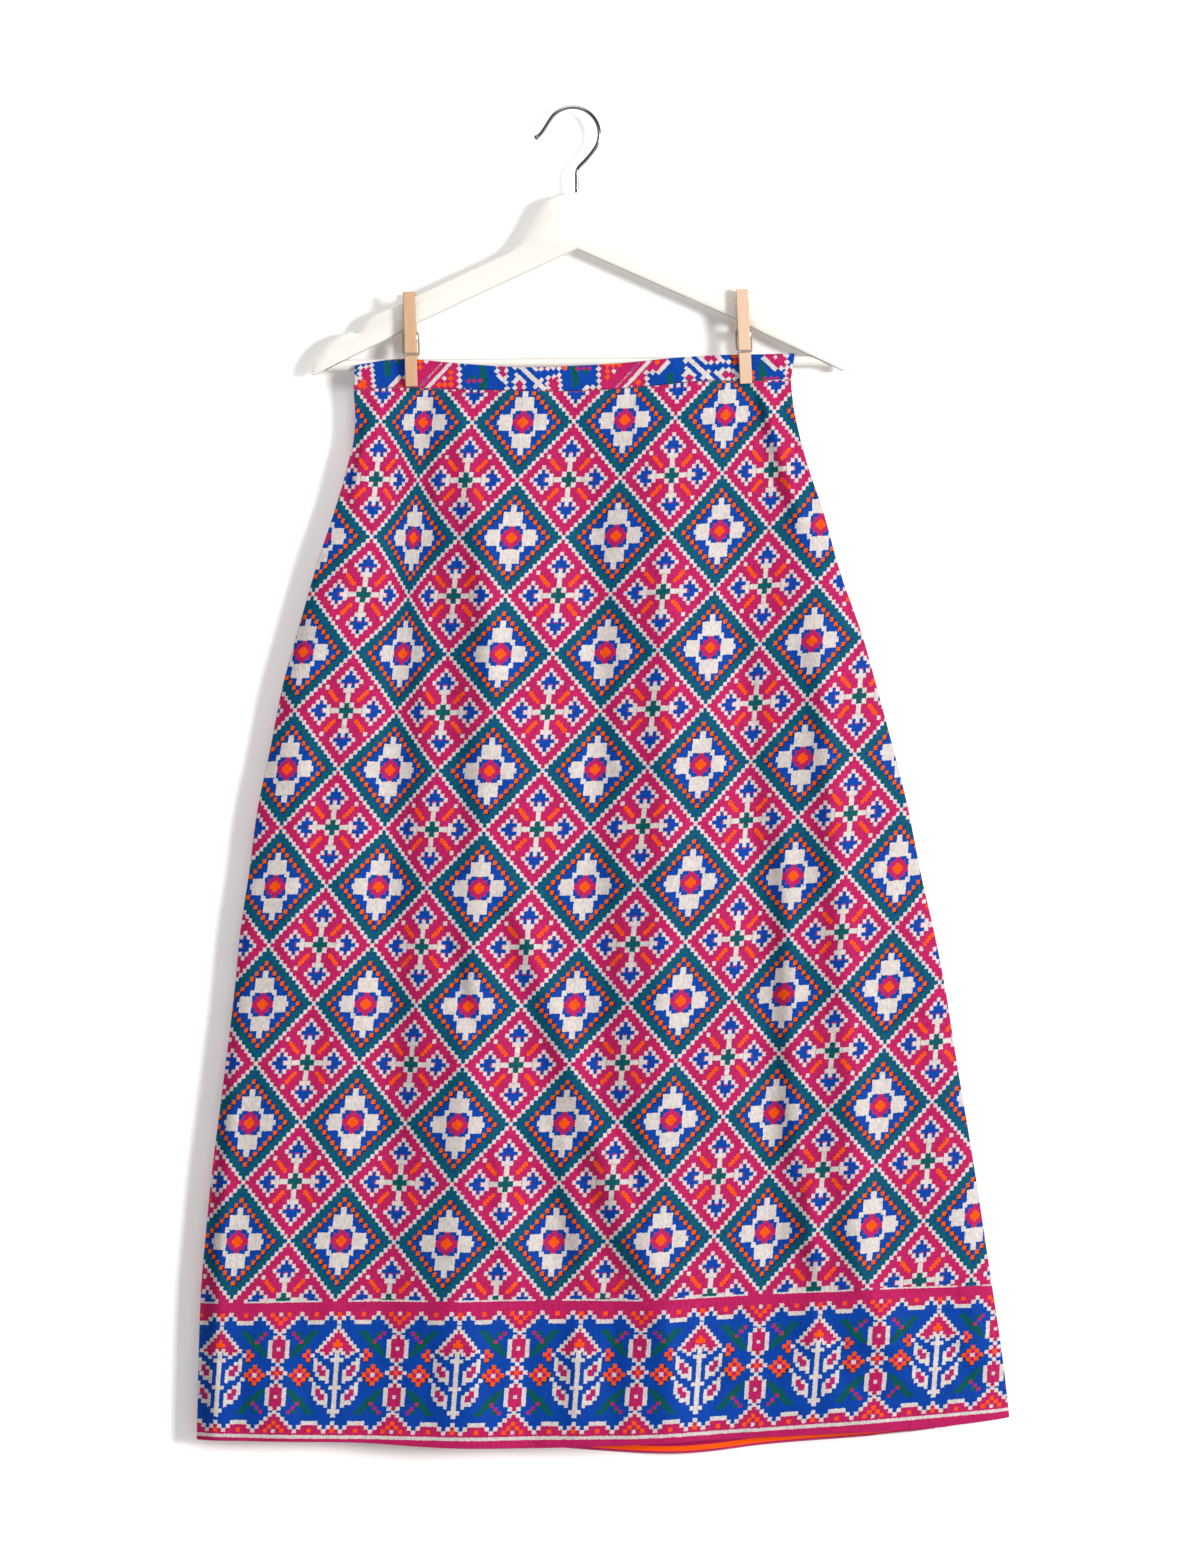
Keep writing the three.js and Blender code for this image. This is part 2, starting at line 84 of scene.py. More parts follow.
# ---- The print's lattice, on the flat of the front ----
LATTICE_X = -41.4 * MM  # the middle of one teal diamond in the first row
LATTICE_Z = -257.9 * MM
COLUMN_PITCH = 85.3 * MM
COLUMN_GROWTH = 0.33 * MM  # the columns spread a little from row to row
ROW_PITCH = 95.94 * MM
LATTICE_LEAN = 0.0915
LATTICE_ARCH = 0.1585  # per metre: each row rises to its middle and falls away
LATTICE_ARCH_X = -75.9 * MM
ROW_SAG = 1.6 * MM  # the middle rows hang higher than an even pitch puts them
ROW_SAG_Z = -568 * MM
ROW_SAG_POWER = 13.4  # per square metre
GATHERED = 0.022  # how much narrower the print is where the waist gathers it
GATHERED_X = -8 * MM
GATHERED_FROM, GATHERED_TO = -340 * MM, -270 * MM  # heights between which the gathers come in
HALF = 14  # cells from the middle of a diamond to its corner
# Towards the sides the cloth turns away, so the print comes closer in and hangs lower.
SIDE_DRIFT = [
    # x, inward, lowered, all in millimetres
    (-330, -4.6, 8.5), (-264, -2.6, 4.7), (-225, -1.2, 1.5), (-180, 0, 0),
    (112, 0, 0), (162, 2.5, 0), (247, 3, 1.8), (345, 5, 5),
]
# A fold by the left side takes in some cloth: how much is hidden, by height.
LEFT_FOLD = [
    # z, hidden, in millimetres
    (-1010, 0), (-900, 0.8), (-815, 1.4), (-720, 3),
    (-630, 4.2), (-540, 5), (-450, 8.6), (-400, 11.8),
    (-356, 14), (-310, 11.4), (-264, 8.6),
]
LEFT_FOLD_FROM, LEFT_FOLD_TO = -108 * MM, -162 * MM

# ---- The print's border ----
BORDER_AXIS_X = -45.7 * MM  # of one hexagon column
BORDER_AXIS_Z = -1038 * MM
BORDER_LEAN = 0.072
BORDER_REPEAT = 28  # cells
BORDER_CELL = 99 * MM / BORDER_REPEAT
BORDER_ROW = 3.5 * MM
CUT_ROW = -2.97  # where the lattice is cut off, in border rows
CUT_LINE_REACH = 10.5  # cells that the thin line on the cut runs to both sides of a pink diamond
STRIPE_ROW = 29.3  # the middle of the white stripe
LAST_ROW = 27.9  # the lower half mirrors the upper about half of this
# Heights of the cut and of the stripe's middle, across the front.
BORDER_LINES = [
    # x, cut, stripe, all in millimetres
    (-308, -980, -1088.5), (-200, -978.2, -1089.8), (-60, -977.2, -1090.8),
    (50, -977, -1089.2), (150, -972.6, -1083.8), (250, -967.6, -1076.3),
    (345, -965.8, -1069),
]

# ---- The dyes ----
PINK = (0.59, 0.085, 0.292)
BLUE = (0.0, 0.2, 0.515)
TEAL = (0.0, 0.27, 0.285)
ORANGE = (0.79, 0.265, 0.0)
WHITE = (0.686, 0.655, 0.64)
SHADE = (0.05, 0.06, 0.08)
GREEN = (0.0, 0.265, 0.25)


def linear(colour):
    """A display colour as the linear colour that a shader takes."""
    return tuple(c / 12.92 if c <= 0.04045 else ((c + 0.055) / 1.055) ** 2.4 for c in colour) + (1.0,)


def in_metres(table):
    """The columns of a table of millimetres."""
    return [np.array(column) * MM for column in zip(*table)]


# ------------------------------------------------------------------ materials


def worked(operation):
    """A method that puts a value through one math node."""
    return lambda value, *others: value.graph.math(operation, value, *others)


class Value:
    """A number that a material works out at each point of a surface."""

    def __init__(self, graph, socket):
        self.graph = graph
        self.socket = socket

    __add__ = worked("ADD")
    __sub__ = worked("SUBTRACT")
    __mul__ = __and__ = worked("MULTIPLY")
    __or__ = worked("MAXIMUM")
    __abs__ = worked("ABSOLUTE")
    least = worked("MINIMUM")
    rounded = worked("ROUND")
    near = worked("COMPARE")  # with a middle and a half width
    under = worked("LESS_THAN")
    over = worked("GREATER_THAN")

    def __rsub__(self, other):
        return self.graph.math("SUBTRACT", other, self)


class Graph:
    """The node tree of one material."""

    def __init__(self, name):
        self.material = bpy.data.materials.new(name)
        self.material.use_nodes = True
        self.tree = self.material.node_tree
        self.shader = self.tree.nodes["Principled BSDF"]

    def node(self, kind, **settings):
        made = self.tree.nodes.new(kind)
        for name, value in settings.items():
            setattr(made, name, value)
        return made

    def feed(self, socket, value):
        if isinstance(value, Value):
            value = value.socket
        if isinstance(value, bpy.types.NodeSocket):
            self.tree.links.new(value, socket)
        else:
            socket.default_value = value

    def math(self, operation, *values):
        made = self.node("ShaderNodeMath", operation=operation)
        for socket, value in zip(made.inputs, values):
            self.feed(socket, value)
        return Value(self, made.outputs[0])

    def mix(self, factor, below, above):
        made = self.node("ShaderNodeMix", data_type="RGBA")
        self.feed(made.inputs["Factor"], factor)
        self.feed(made.inputs["A"], below)
        self.feed(made.inputs["B"], above)
        return made.outputs["Result"]

    def toned(self, colour, value):
        """The colour, as much brighter as the value says."""
        made = self.node("ShaderNodeHueSaturation")
        self.feed(made.inputs["Color"], colour)
        self.feed(made.inputs["Value"], value)
        return made.outputs["Color"]

    def parts(self, vector):
        made = self.node("ShaderNodeSeparateXYZ")
        self.feed(made.inputs[0], vector)
        return [Value(self, s) for s in made.outputs]

    def attribute(self, name):
        made = self.node("ShaderNodeAttribute", attribute_type="GEOMETRY", attribute_name=name)
        return made.outputs["Vector"]

    def place(self, scale=(1, 1, 1)):
        """The point's place on the object, scaled."""
        mapping = self.node("ShaderNodeMapping")
        mapping.inputs["Scale"].default_value = scale
        self.feed(mapping.inputs["Vector"], self.node("ShaderNodeTexCoord").outputs["Object"])
        return mapping.outputs["Vector"]

    def noise(self, scale, detail=2, roughness=0.5, stretch=(1, 1, 1)):
        made = self.node("ShaderNodeTexNoise")
        self.feed(made.inputs["Vector"], self.place(stretch))
        made.inputs["Scale"].default_value = scale
        made.inputs["Detail"].default_value = detail
        made.inputs["Roughness"].default_value = roughness
        return Value(self, made.outputs["Fac"])

    def threads(self, direction):
        """Fine even lines across one direction."""
        made = self.node("ShaderNodeTexWave", bands_direction=direction)
        self.feed(made.inputs["Vector"], self.place())
        made.inputs["Scale"].default_value = 260
        made.inputs["Distortion"].default_value = 1.2
        made.inputs["Detail"].default_value = 1.0
        return Value(self, made.outputs["Fac"])

    def bump(self, height, distance, strength, below=None):
        made = self.node("ShaderNodeBump")
        made.inputs["Strength"].default_value = strength
        made.inputs["Distance"].default_value = distance
        self.feed(made.inputs["Height"], height)
        if below is not None:
            self.feed(made.inputs["Normal"], below)
        return made.outputs["Normal"]

    def finish(self, colour, roughness, **sockets):
        self.feed(self.shader.inputs["Base Color"], colour)
        self.feed(self.shader.inputs["Roughness"], roughness)
        for name, value in sockets.items():
            self.feed(self.shader.inputs[name.replace("_", " ")], value)
        return self.material


def boxes(u, v, rows):
    """The union of boxes; a row is the middle's u and v and the half width and height."""
    union = None
    for at_u, at_v, half_u, half_v in rows:
        box = u.near(at_u, half_u) & v.near(at_v, half_v)
        union = box if union is None else union | box
    return union


class Paint:
    """Layers of flat colour, one over another."""

    def __init__(self, graph, ground):
        self.graph = graph
        self.colour = linear(ground)

    def add(self, mask, colour):
        self.colour = self.graph.mix(mask, self.colour, linear(colour))

    def stamp(self, u, v, chart):
        for dye, rows in chart:
            self.add(boxes(u, v, rows), dye)


def cells(*middles, half=0.5):
    """Square boxes."""
    return [(u, v, half, half) for u, v in middles]


def both_ways(rows):
    """Boxes, and the same with u and v exchanged."""
    return rows + [(v, u, half_v, half_u) for u, v, half_u, half_v in rows]


def lowered(rows, by):
    return [(u, v + by, half_u, half_v) for u, v, half_u, half_v in rows]


# Charts: dyes, in the order they are painted, and for each its boxes: u and v of a box's middle,
# then its half width and half height, in cells.
TEAL_CROSS = [
    (0, 4.8, 2.6, 1.45), (0, 5, 0.75, 3), (0, 0, 3.6, 3.4),
    (0, 0, 6.5, 1.95), (0, 0, 7.1, 0.6),
]
TEAL_HEART = [
    (PINK, [(0, 0, 2.9, 1.9), (0, 0, 1.95, 2.75)]),
    (BLUE, [(1.55, 2.35, 0.8, 0.5), (2.5, 1.5, 0.5, 0.7)]),
    (ORANGE, [(0, 0, 1.4, 0.5), (0, 0, 0.85, 0.95), (0, 0, 0.4, 1.3)]),
]
BUD_EDGE = cells((0, 10), (1, 9), (2, 8), (3, 7), (2, 6), (1, 5)) + [(0, 4.9, 1.5, 0.6), (0, 5.8, 0.5, 0.6)]
BUD = [(0, 9, 0.45, 0.55), (0, 8, 1.4, 0.5), (0, 7.1, 2.4, 0.4), (1, 6.1, 0.45, 0.7)]
PINK_CROSS = [
    (WHITE, both_ways(BUD_EDGE)),
    (BLUE, both_ways(BUD)),
    (WHITE, [(1.35, 1.3, 0.6, 0.6), (0, 3, 0.65, 1.25), (3, 0, 1.2, 0.6)]),
    (TEAL, [(0, 0, 1.95, 0.62), (0, 0, 0.7, 1.85)]),
    (ORANGE, cells((4.9, 4.5), (4.3, 3.9), (3.7, 3.2), (3, 2.6))),
    (WHITE, cells((5.9, 5.6))),
]


def beads(u, v, ring, half):
    """A ring of squares, that many cells out and that wide; u and v are cells from the middle."""
    near_u, near_v = u.rounded(), v.rounded()
    return (near_u + near_v).near(ring, 0.5) & (u - near_u).near(0, half) & (v - near_v).near(0, half)


def teal_diamond(graph, from_u, from_v):
    """The diamond with a white cross; from_u and from_v are cells from its middle."""
    coarse = 11.5 / HALF  # the beads have a coarser cell
    cast = 0.22  # how far each bead's dark edge lies to its lower right
    u, v = abs(from_u), abs(from_v)
    ring_u, ring_v = u * coarse, v * coarse
    cast_u, cast_v = abs(from_u * coarse - cast), abs(from_v * coarse - cast)
    middle = (ring_u.rounded() + ring_v.rounded()).under(7.5)
    paint = Paint(graph, TEAL)
    paint.add(beads(u, v, 13, 0.3) | beads(ring_u, ring_v, 9, 0.34) | middle, BLUE)
    paint.add(beads(cast_u, cast_v, 8, 0.42), SHADE)
    paint.add(boxes(u, v, TEAL_CROSS), WHITE)
    paint.add(beads(ring_u, ring_v, 8, 0.41), ORANGE)
    paint.stamp(u, v, TEAL_HEART)
    return paint


def lattice(graph, across, down):
    """The all-over lattice of diamonds; across and down count its columns and rows. Gives its
    colour, and where the thin line along its cut edge shows."""
    from_u = (across - across.rounded()) * (2 * HALF)
    from_v = (down - down.rounded()) * (2 * HALF)
    u, v = abs(from_u), abs(from_v)
    teal = teal_diamond(graph, from_u, from_v)
    pink = Paint(graph, PINK)
    pink.stamp(HALF - u, HALF - v, PINK_CROSS)
    pink_side = (u + v).over(HALF)
    paint = Paint(graph, TEAL)
    paint.colour = graph.mix(pink_side, teal.colour, pink.colour)
    steps = (u.rounded() + v.rounded()).near(HALF, 0.5)
    bridge = (u + v).near(HALF, 0.12)
    paint.add(steps | bridge, WHITE)
    return paint.colour, pink_side & u.over(HALF - CUT_LINE_REACH)


# The border's charts: u counts from a column's axis, or from the plant's own, and v down from the
# border's top.
LEAF_SHAPE = [
    (8.2, 4.5, 0.9, 0.5), (7.3, 5.4, 0.9, 0.5), (6.5, 6.3, 1, 0.6), (4.6, 4.8, 0.6, 0.5),
    (5.4, 7.4, 1.3, 0.6), (4.7, 8.3, 1, 0.5), (3.9, 9.1, 0.8, 0.5), (3.3, 9.8, 0.5, 0.3),
]
LEAF = [(GREEN, LEAF_SHAPE), (PINK, cells((3.4, 4.65), (4.3, 5.6), (5.3, 6.6), half=0.42))]
HEXAGON = [(0, 4.65, 0.5, 0.42), (1, 5.5, 0.5, 0.48), (2.05, 8.3, 0.5, 2.2), (0, 8.3, 0.4, 0.42)]
SMALL_DIAMOND = [(1, 11, 0.5, 0.48), (0, 11.9, 0.5, 0.45), (1, 12.9, 0.5, 0.5), (2, 13.95, 0.5, 0.48)]
COLUMN = [
    (ORANGE, cells((2, 0.1), (1, 1.1), (0, 2.1), (8.45, 0.15), (14, 0.15))),
    (WHITE, [(0, 0, 0.42, 0.45)]),
    (PINK, [(0, 8.3, 1.5, 2.4), (0, 8.3, 0.5, 3.3), (0, 13.95, 1.5, 0.6), (0, 13.95, 0.5, 1.55)]),
    (WHITE, HEXAGON + SMALL_DIAMOND),
    (ORANGE, cells((0, 13.95))),
]
FLOWER_CELL, FLOWER_ROW = 5.4, 14.5
CROWN_TOP, CROWN_STEP, CROWN_SPREAD = 3.2, 0.92, 0.78  # rows, rows to a step, cells to a step
CROWN_STEPS = 6
CROWN_SIDE = [(2.5, 9.4, 0.6, 0.5)]
CROWN_FOOT = [(3.55, 9.4, 0.5, 0.42), (2.5, 10.2, 0.55, 0.4), (1.4, 9.4, 0.5, 0.42), (0.8, 8.6, 0.4, 0.45)]
STEM = [(0, 16.6, 0.55, 7.9), (0, 10.95, 1.5, 0.45), (0, 17.45, 1.45, 0.45), (0, 23.1, 1.4, 0.5)]
LEAF_STEP = 5.7  # rows from a plant's upper leaves to its lower
LEAF_EDGE = [
    (5.8, 9.85, 0.5, 0.45), (5, 12.1, 0.45, 1.6), (4, 11.8, 0.5, 0.45), (2.9, 12.8, 0.5, 0.45),
    (2, 14.85, 0.42, 1.65), (4.4, 14.3, 0.5, 0.5), (3.2, 15.3, 0.8, 0.5),
]
LEAF_HEART = [(3.9, 12.9, 0.55, 0.75), (3.1, 14.05, 0.6, 0.75)]
HALF_FLOWER = cells((6.8, 8.9), (7.7, 9.8), (6.8, 10.8))
PLANT = [
    (WHITE, CROWN_FOOT + STEM),
    (ORANGE, [(0, 6.5, 0.45, 0.45), (0, 7.35, 1.1, 0.5)]),
    (WHITE, LEAF_EDGE + lowered(LEAF_EDGE, LEAF_STEP)),
    (PINK, LEAF_HEART + lowered(LEAF_HEART, LEAF_STEP)),
    (SHADE, lowered(HALF_FLOWER, 0.25)),
    (ORANGE, HALF_FLOWER),
    (PINK, [(6.75, 9.85, 0.45, 0.5)]),
]


def border(graph, along, row):
    """The hem's border: hexagon columns and flowering plants between scalloped edges."""
    repeat = along * (1 / BORDER_REPEAT)
    away = abs(repeat - repeat.rounded()) * BORDER_REPEAT  # cells from the nearest hexagon axis
    plant = BORDER_REPEAT / 2 - away
    cell = away.rounded()
    folded = row.least(LAST_ROW - row)
    paint = Paint(graph, BLUE)
    paint.stamp(away, folded, LEAF)

    # The scalloped edges, pink beyond them, then the hexagons and the small diamond between them.
    line = folded.rounded()
    scallop = abs(cell - 5).least(abs(cell - 12)).least(2) | (5 - cell)
    paint.add(line.under(scallop), PINK)
    paint.add((line - scallop).near(0, 0.4) & cell.over(0.5), WHITE)
    paint.stamp(away, folded, COLUMN)

    # The round flowers beside the small diamonds, with dark lower edges.
    for shift, petals in ((0.22, SHADE), (0.0, ORANGE)):
        across, down = away - (FLOWER_CELL + shift), row - (FLOWER_ROW + shift)
        ring = abs(across.rounded()) + abs(down.rounded())
        paint.add(ring.near(2, 0.4), petals)
    paint.add(ring.under(1.5), PINK)
    paint.add(ring.under(0.5), WHITE)

    # The plants.
    step = ((row - CROWN_TOP) * (1 / CROWN_STEP)).rounded()
    reach = step * CROWN_SPREAD
    crown = plant.under(reach) & step.near((CROWN_STEPS + 1) / 2, CROWN_STEPS / 2)
    paint.add(crown | boxes(plant, row, CROWN_SIDE), PINK)
    paint.add((plant - reach).near(0, 0.5) & step.near(CROWN_STEPS / 2, CROWN_STEPS / 2 + 0.4), WHITE)
    paint.stamp(plant, row, PLANT)

    paint.add(row.over(LAST_ROW + 0.6), PINK)
    paint.add(row.near(STRIPE_ROW, 0.42), WHITE)
    return paint.colour


WEAVE = {"Sheen_Weight": 0.02, "Specular_IOR_Level": 0.07}


def cloth_material(name, with_lattice=True):
    """The printed cloth. The cloth's inside shows the print paler."""
    graph = Graph(name)
    frayed = 0.5  # how far, in cells, the print's edges wander
    fray = (graph.noise(900, 1) - 0.5) * frayed
    fray_down = (graph.noise(870, 1, stretch=(1, 1, 1.1)) - 0.5) * frayed
    along, row, inside = graph.parts(graph.attribute("border"))
    row += fray_down
    colour = border(graph, along + fray, row)
    if with_lattice:
        across, down, _ = graph.parts(graph.attribute("lattice"))
        cell = 1 / (2 * HALF)
        all_over, by_pink = lattice(graph, across + fray * cell, down + fray_down * cell)
        colour = graph.mix(row.under(CUT_ROW), colour, all_over)
        cut_line = row.near(CUT_ROW, 0.17) & by_pink
        colour = graph.mix(cut_line, colour, linear(WHITE))

    # Uneven dye: soft patches, and the fine speckle of the weave.
    patches = graph.noise(40, 3)
    speckle = graph.noise(480, 3, 0.75, (1, 1, 0.6))
    colour = graph.toned(colour, (patches - 0.5) * 0.25 + (speckle - 0.5) * 1.1 + 1.0)
    colour = graph.mix(inside * 0.38, colour, linear((0.66, 0.55, 0.58)))

    # Crossing threads, and faint wrinkles.
    normal = graph.bump(graph.threads("X") + graph.threads("Z"), 0.06 * MM, 0.5)
    normal = graph.bump(graph.noise(120, stretch=(1, 1, 0.7)), 0.5 * MM, 0.35, normal)
    return graph.finish(colour, 0.7, Normal=normal, Sheen_Roughness=0.4, **WEAVE)


def hem_material():
    """The turned-up hem's inside: a pink fold, an orange stripe and pink above it."""
    graph = Graph("hem_inside")
    _, up, _ = graph.parts(graph.attribute("border"))
    stripe, half = 4.3, 2.1  # millimetres up from the fold
    paint = Paint(graph, (0.66, 0.09, 0.32))
    # The stripe is the border's own orange, painted brighter than the print's orange dye: painted light
    # against the shade under the front's hem.
    paint.add(up.near(stripe, half), (0.95, 0.33, 0.02))
    speckle = graph.noise(1150, 2, 0.7, (1, 1, 0.6))
    colour = graph.toned(paint.colour, (speckle - 0.5) * 0.5 + 1.0)
    normal = graph.bump(graph.noise(160), 0.5 * MM, 0.4)
    return graph.finish(colour, 0.7, Normal=normal, **WEAVE)


def painted_wood():
    graph = Graph("white_paint")
    streaks = graph.noise(3, 3, stretch=(9, 60, 60))
    shade = streaks * 0.5 + graph.noise(40) * 0.5
    colour = graph.mix(shade, linear((0.775, 0.76, 0.73)), linear((0.80, 0.785, 0.755)))
    normal = graph.bump(streaks, 0.15 * MM, 0.35)
    coat = {"Coat_Weight": 0.08, "Coat_Roughness": 0.3}
    return graph.finish(colour, 0.36, Normal=normal, Specular_IOR_Level=0.3, **coat)


def peg_wood(name, paler):
    graph = Graph(name)
    grain = graph.noise(1, 5, 0.65, (260, 260, 14))
    rings = graph.noise(1, stretch=(60, 60, 5))
    fibres = graph.noise(1, stretch=(900, 900, 40))
    colour = graph.mix(grain, linear((0.63, 0.49, 0.37)), linear((0.735, 0.61, 0.49)))
    colour = graph.mix(rings * 0.5, colour, linear((0.66, 0.50, 0.37)))
    colour = graph.mix(fibres.over(0.66) * 0.25, colour, linear((0.52, 0.37, 0.26)))
    # paler mixes the wood towards a pale tone: painted light, which makes a lit copy of the wood for the
    # right peg
    colour = graph.mix(paler, colour, linear((0.9, 0.84, 0.78)))
    normal = graph.bump(grain, 0.25 * MM, 0.5)
    return graph.finish(colour, 0.62, Normal=normal, Specular_IOR_Level=0.3)


def metal(name, colour, roughness, brushed):
    graph = Graph(name)
    smudge = graph.noise(120, 3)
    tone = graph.mix(smudge, linear(colour), linear(tuple(c * 0.92 for c in colour)))
    normal = graph.bump(graph.noise(600), 0.02 * MM, brushed)
    return graph.finish(tone, smudge * 0.08 + roughness, Metallic=1.0, Normal=normal)


# ------------------------------------------------------------------ geometry


def slide(edges_a, edges_b, axis, other, places):
    """The least and the greatest reach along one axis where a mesh is cut at places on another."""
    low, high = [], []
    for place in places:
        a = edges_a[:, axis] - place
        b = edges_b[:, axis] - place
        crossed = (a * b <= 0) & (np.abs(a - b) > 1e-9)
        share = a[crossed] / (a[crossed] - b[crossed])
        reach = edges_a[crossed, other] + share * (edges_b[crossed, other] - edges_a[crossed, other])
        low.append(reach.min())
        high.append(reach.max())
    return np.array(low), np.array(high)


def stretched(place, places, values):
    """Reads values between places, and goes on straight past both ends."""
    inside = np.interp(place, places, values)
    before = values[0] + (place - places[0]) * (values[3] - values[0]) / (places[3] - places[0])
    after = values[-1] + (place - places[-1]) * (values[-1] - values[-4]) / (places[-1] - places[-4])
    return np.where(place < places[0], before, np.where(place > places[-1], after, inside))


def softened(values, reach, axis):
    """Blurs a grid along one axis, and keeps its edges where they are."""
    radius = int(3 * reach) + 1
    kernel = np.exp(-0.5 * (np.arange(-radius, radius + 1) / reach) ** 2)
    kernel /= kernel.sum()
    moved = np.moveaxis(values, axis, 0)
    first = 2 * moved[:1] - moved[radius:0:-1]
    last = 2 * moved[-1:] - moved[-2 : -radius - 2 : -1]
    padded = np.concatenate([first, moved, last])
    blurred = sum(k * padded[i : i + len(moved)] for i, k in enumerate(kernel))
    return np.moveaxis(blurred, 0, axis)


class Wall:
    """The outline and the outer face of one solid wall of cloth, read from its node."""

    SAMPLES = 150  # of its depth, both ways
    SIDE_CUTS, TOP_CUTS = 120, 80  # where its outline is read

    def __init__(self, node, outward, soften=(1.0, 2.2)):
        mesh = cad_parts[node].data
        points = np.array([v.co for v in mesh.vertices])
        edges = np.array([e.vertices for e in mesh.edges])
        a, b = points[edges[:, 0]], points[edges[:, 1]]
        x, z = points[:, 0], points[:, 2]
        top_left, top_right = points[np.argmax(z - x)], points[np.argmax(z + x)]
        low_left, low_right = points[np.argmin(z + x)], points[np.argmin(z - x)]
        tiny = 0.2 * MM
        self.outward = outward
        self.left_z = np.linspace(low_left[2] + tiny, top_left[2] - tiny, self.SIDE_CUTS)
        self.left_x = softened(slide(a, b, 2, 0, self.left_z)[0], 1.2, 0)
        self.right_z = np.linspace(low_right[2] + tiny, top_right[2] - tiny, self.SIDE_CUTS)
        self.right_x = softened(slide(a, b, 2, 0, self.right_z)[1], 1.2, 0)
        top_x = np.linspace(top_left[0] + tiny, top_right[0] - tiny, self.TOP_CUTS)
        top_z = softened(slide(a, b, 0, 2, top_x)[1], 1.5, 0)
        foot_x = np.linspace(low_left[0] + tiny, low_right[0] - tiny, self.SIDE_CUTS)
        foot_z = softened(slide(a, b, 0, 2, foot_x)[0], 1.5, 0)
        self.ends = [self.end_heights(top_x, top_z), self.end_heights(foot_x, foot_z)]
        self.depth = self.read_depth(mesh, points, soften)

    def sides(self, z):
        return stretched(z, self.left_z, self.left_x), stretched(z, self.right_z, self.right_x)

    def end_heights(self, line_x, line_z):
        """The height of the top or foot line, for places across from 0 to 1."""
        across = np.linspace(0, 1, 200)
        z = np.full_like(across, line_z.mean())
        for _ in range(6):
            left, right = self.sides(z)
            z = stretched(left + (right - left) * across, line_x, line_z)
        return across, z

    def flat(self, across, down):
        """x and z of a point, across from the left side and down from the top line, both 0 to 1."""
        top, foot = (np.interp(across, *line) for line in self.ends)
        z = top + (foot - top) * down
        left, right = self.sides(z)
        return left + (right - left) * across, z

    def read_depth(self, mesh, points, soften):
        faces = [p.vertices[:] for p in mesh.polygons]
        tree = BVHTree.FromPolygons([Vector(p) for p in points], faces)
        share = np.linspace(0, 1, self.SAMPLES)
        down, across = np.meshgrid(share, share, indexing="ij")
        shy = 0.0012  # rays stay this far inside the outline
        x, z = self.flat(np.clip(across, shy, 1 - shy), np.clip(down, shy, 1 - shy))
        towards = Vector((0, -self.outward, 0))
        start = self.outward * 0.5
        depth = np.full(x.shape, np.nan)
        for i, j in np.ndindex(x.shape):
            hit = tree.ray_cast(Vector((x[i, j], start, z[i, j])), towards)[0]
            if hit is not None:
                depth[i, j] = hit.y
        for row in depth:
            missed = np.isnan(row)
            if missed.any():
                row[missed] = np.interp(share[missed], share[~missed], row[~missed])
        depth = softened(depth, soften[1], 0)
        calm = softened(depth, 3 * soften[0], 1)
        brisk = softened(depth, soften[0], 1)
        return brisk + (calm - brisk) * smooth_step(0, 0.1, np.minimum(across, 1 - across))

    def outer_y(self, across, down):
        """y of the outer face."""
        last = self.SAMPLES - 1
        i, j = down * last, across * last
        i0, j0 = np.clip(i.astype(int), 0, last - 1), np.clip(j.astype(int), 0, last - 1)
        di, dj = i - i0, j - j0
        d = self.depth
        upper = d[i0, j0] * (1 - dj) + d[i0, j0 + 1] * dj
        lower = d[i0 + 1, j0] * (1 - dj) + d[i0 + 1, j0 + 1] * dj
        return upper * (1 - di) + lower * di


def smooth_step(low, high, value):
    t = np.clip((value - low) / (high - low), 0, 1)
    return t * t * (3 - 2 * t)


# Creases: x and z of the start and of the end, how far the line bows aside, how far the cloth
# stands out (or in, where it is negative), and the half width, all in millimetres.
FRONT_FLUTES = [
    (-62, -262, -98, -1096, 0, 4.2, 17), (-131, -240, -150, -900, 5, -6.6, 15),
    (-13, -232, 22, -450, -4, -4, 13), (22, -400, 20, -860, 0, -5.2, 14),
    (80, -262, 70, -1096, 0, 4.2, 17), (128, -360, 168, -990, -4, -5.6, 14),
    (196, -380, 236, -990, -6, 6.6, 14), (180, -920, 236, -1060, 3, -4.4, 13),
    (226, -920, 284, -1060, 3, 3.8, 13), (-196, -404, -228, -1040, 0, -3.2, 15),
    (-283, -600, -295, -1110, 0, 5.2, 13),
    # the fold that slants in from the left of the waistband
    (-104, -190, -38, -620, 0, 3.4, 12), (-134, -250, -84, -620, 0, -3.6, 12),
    # the slanting folds below the middle
    (-66, -600, 66, -980, 0, 8, 13.5), (-112, -660, -2, -960, 0, -6, 13),
    (-90, -700, -46, -840, 0, 4.2, 9), (-62, -820, -50, -980, 0, 4.4, 10),
    (-14, -810, 16, -980, 0, 3.6, 10), (56, -800, 66, -960, 0, 2.6, 9),
    (172, -560, 182, -880, 0, 3.8, 9), (192, -860, 202, -1030, 0, 4.4, 10),
    # the folds below the right peg
    (148, -212, 191, -350, 0, 5.2, 7), (136, -225, 166, -335, 0, -1.6, 8),
    # by the left edge, and below the left peg
    (-192, -290, -184, -340, 0, -1.6, 6), (-162, -232, -178, -400, 0, 2.6, 13),
    (-104, -226, -110, -330, 0, 2.4, 10),
]

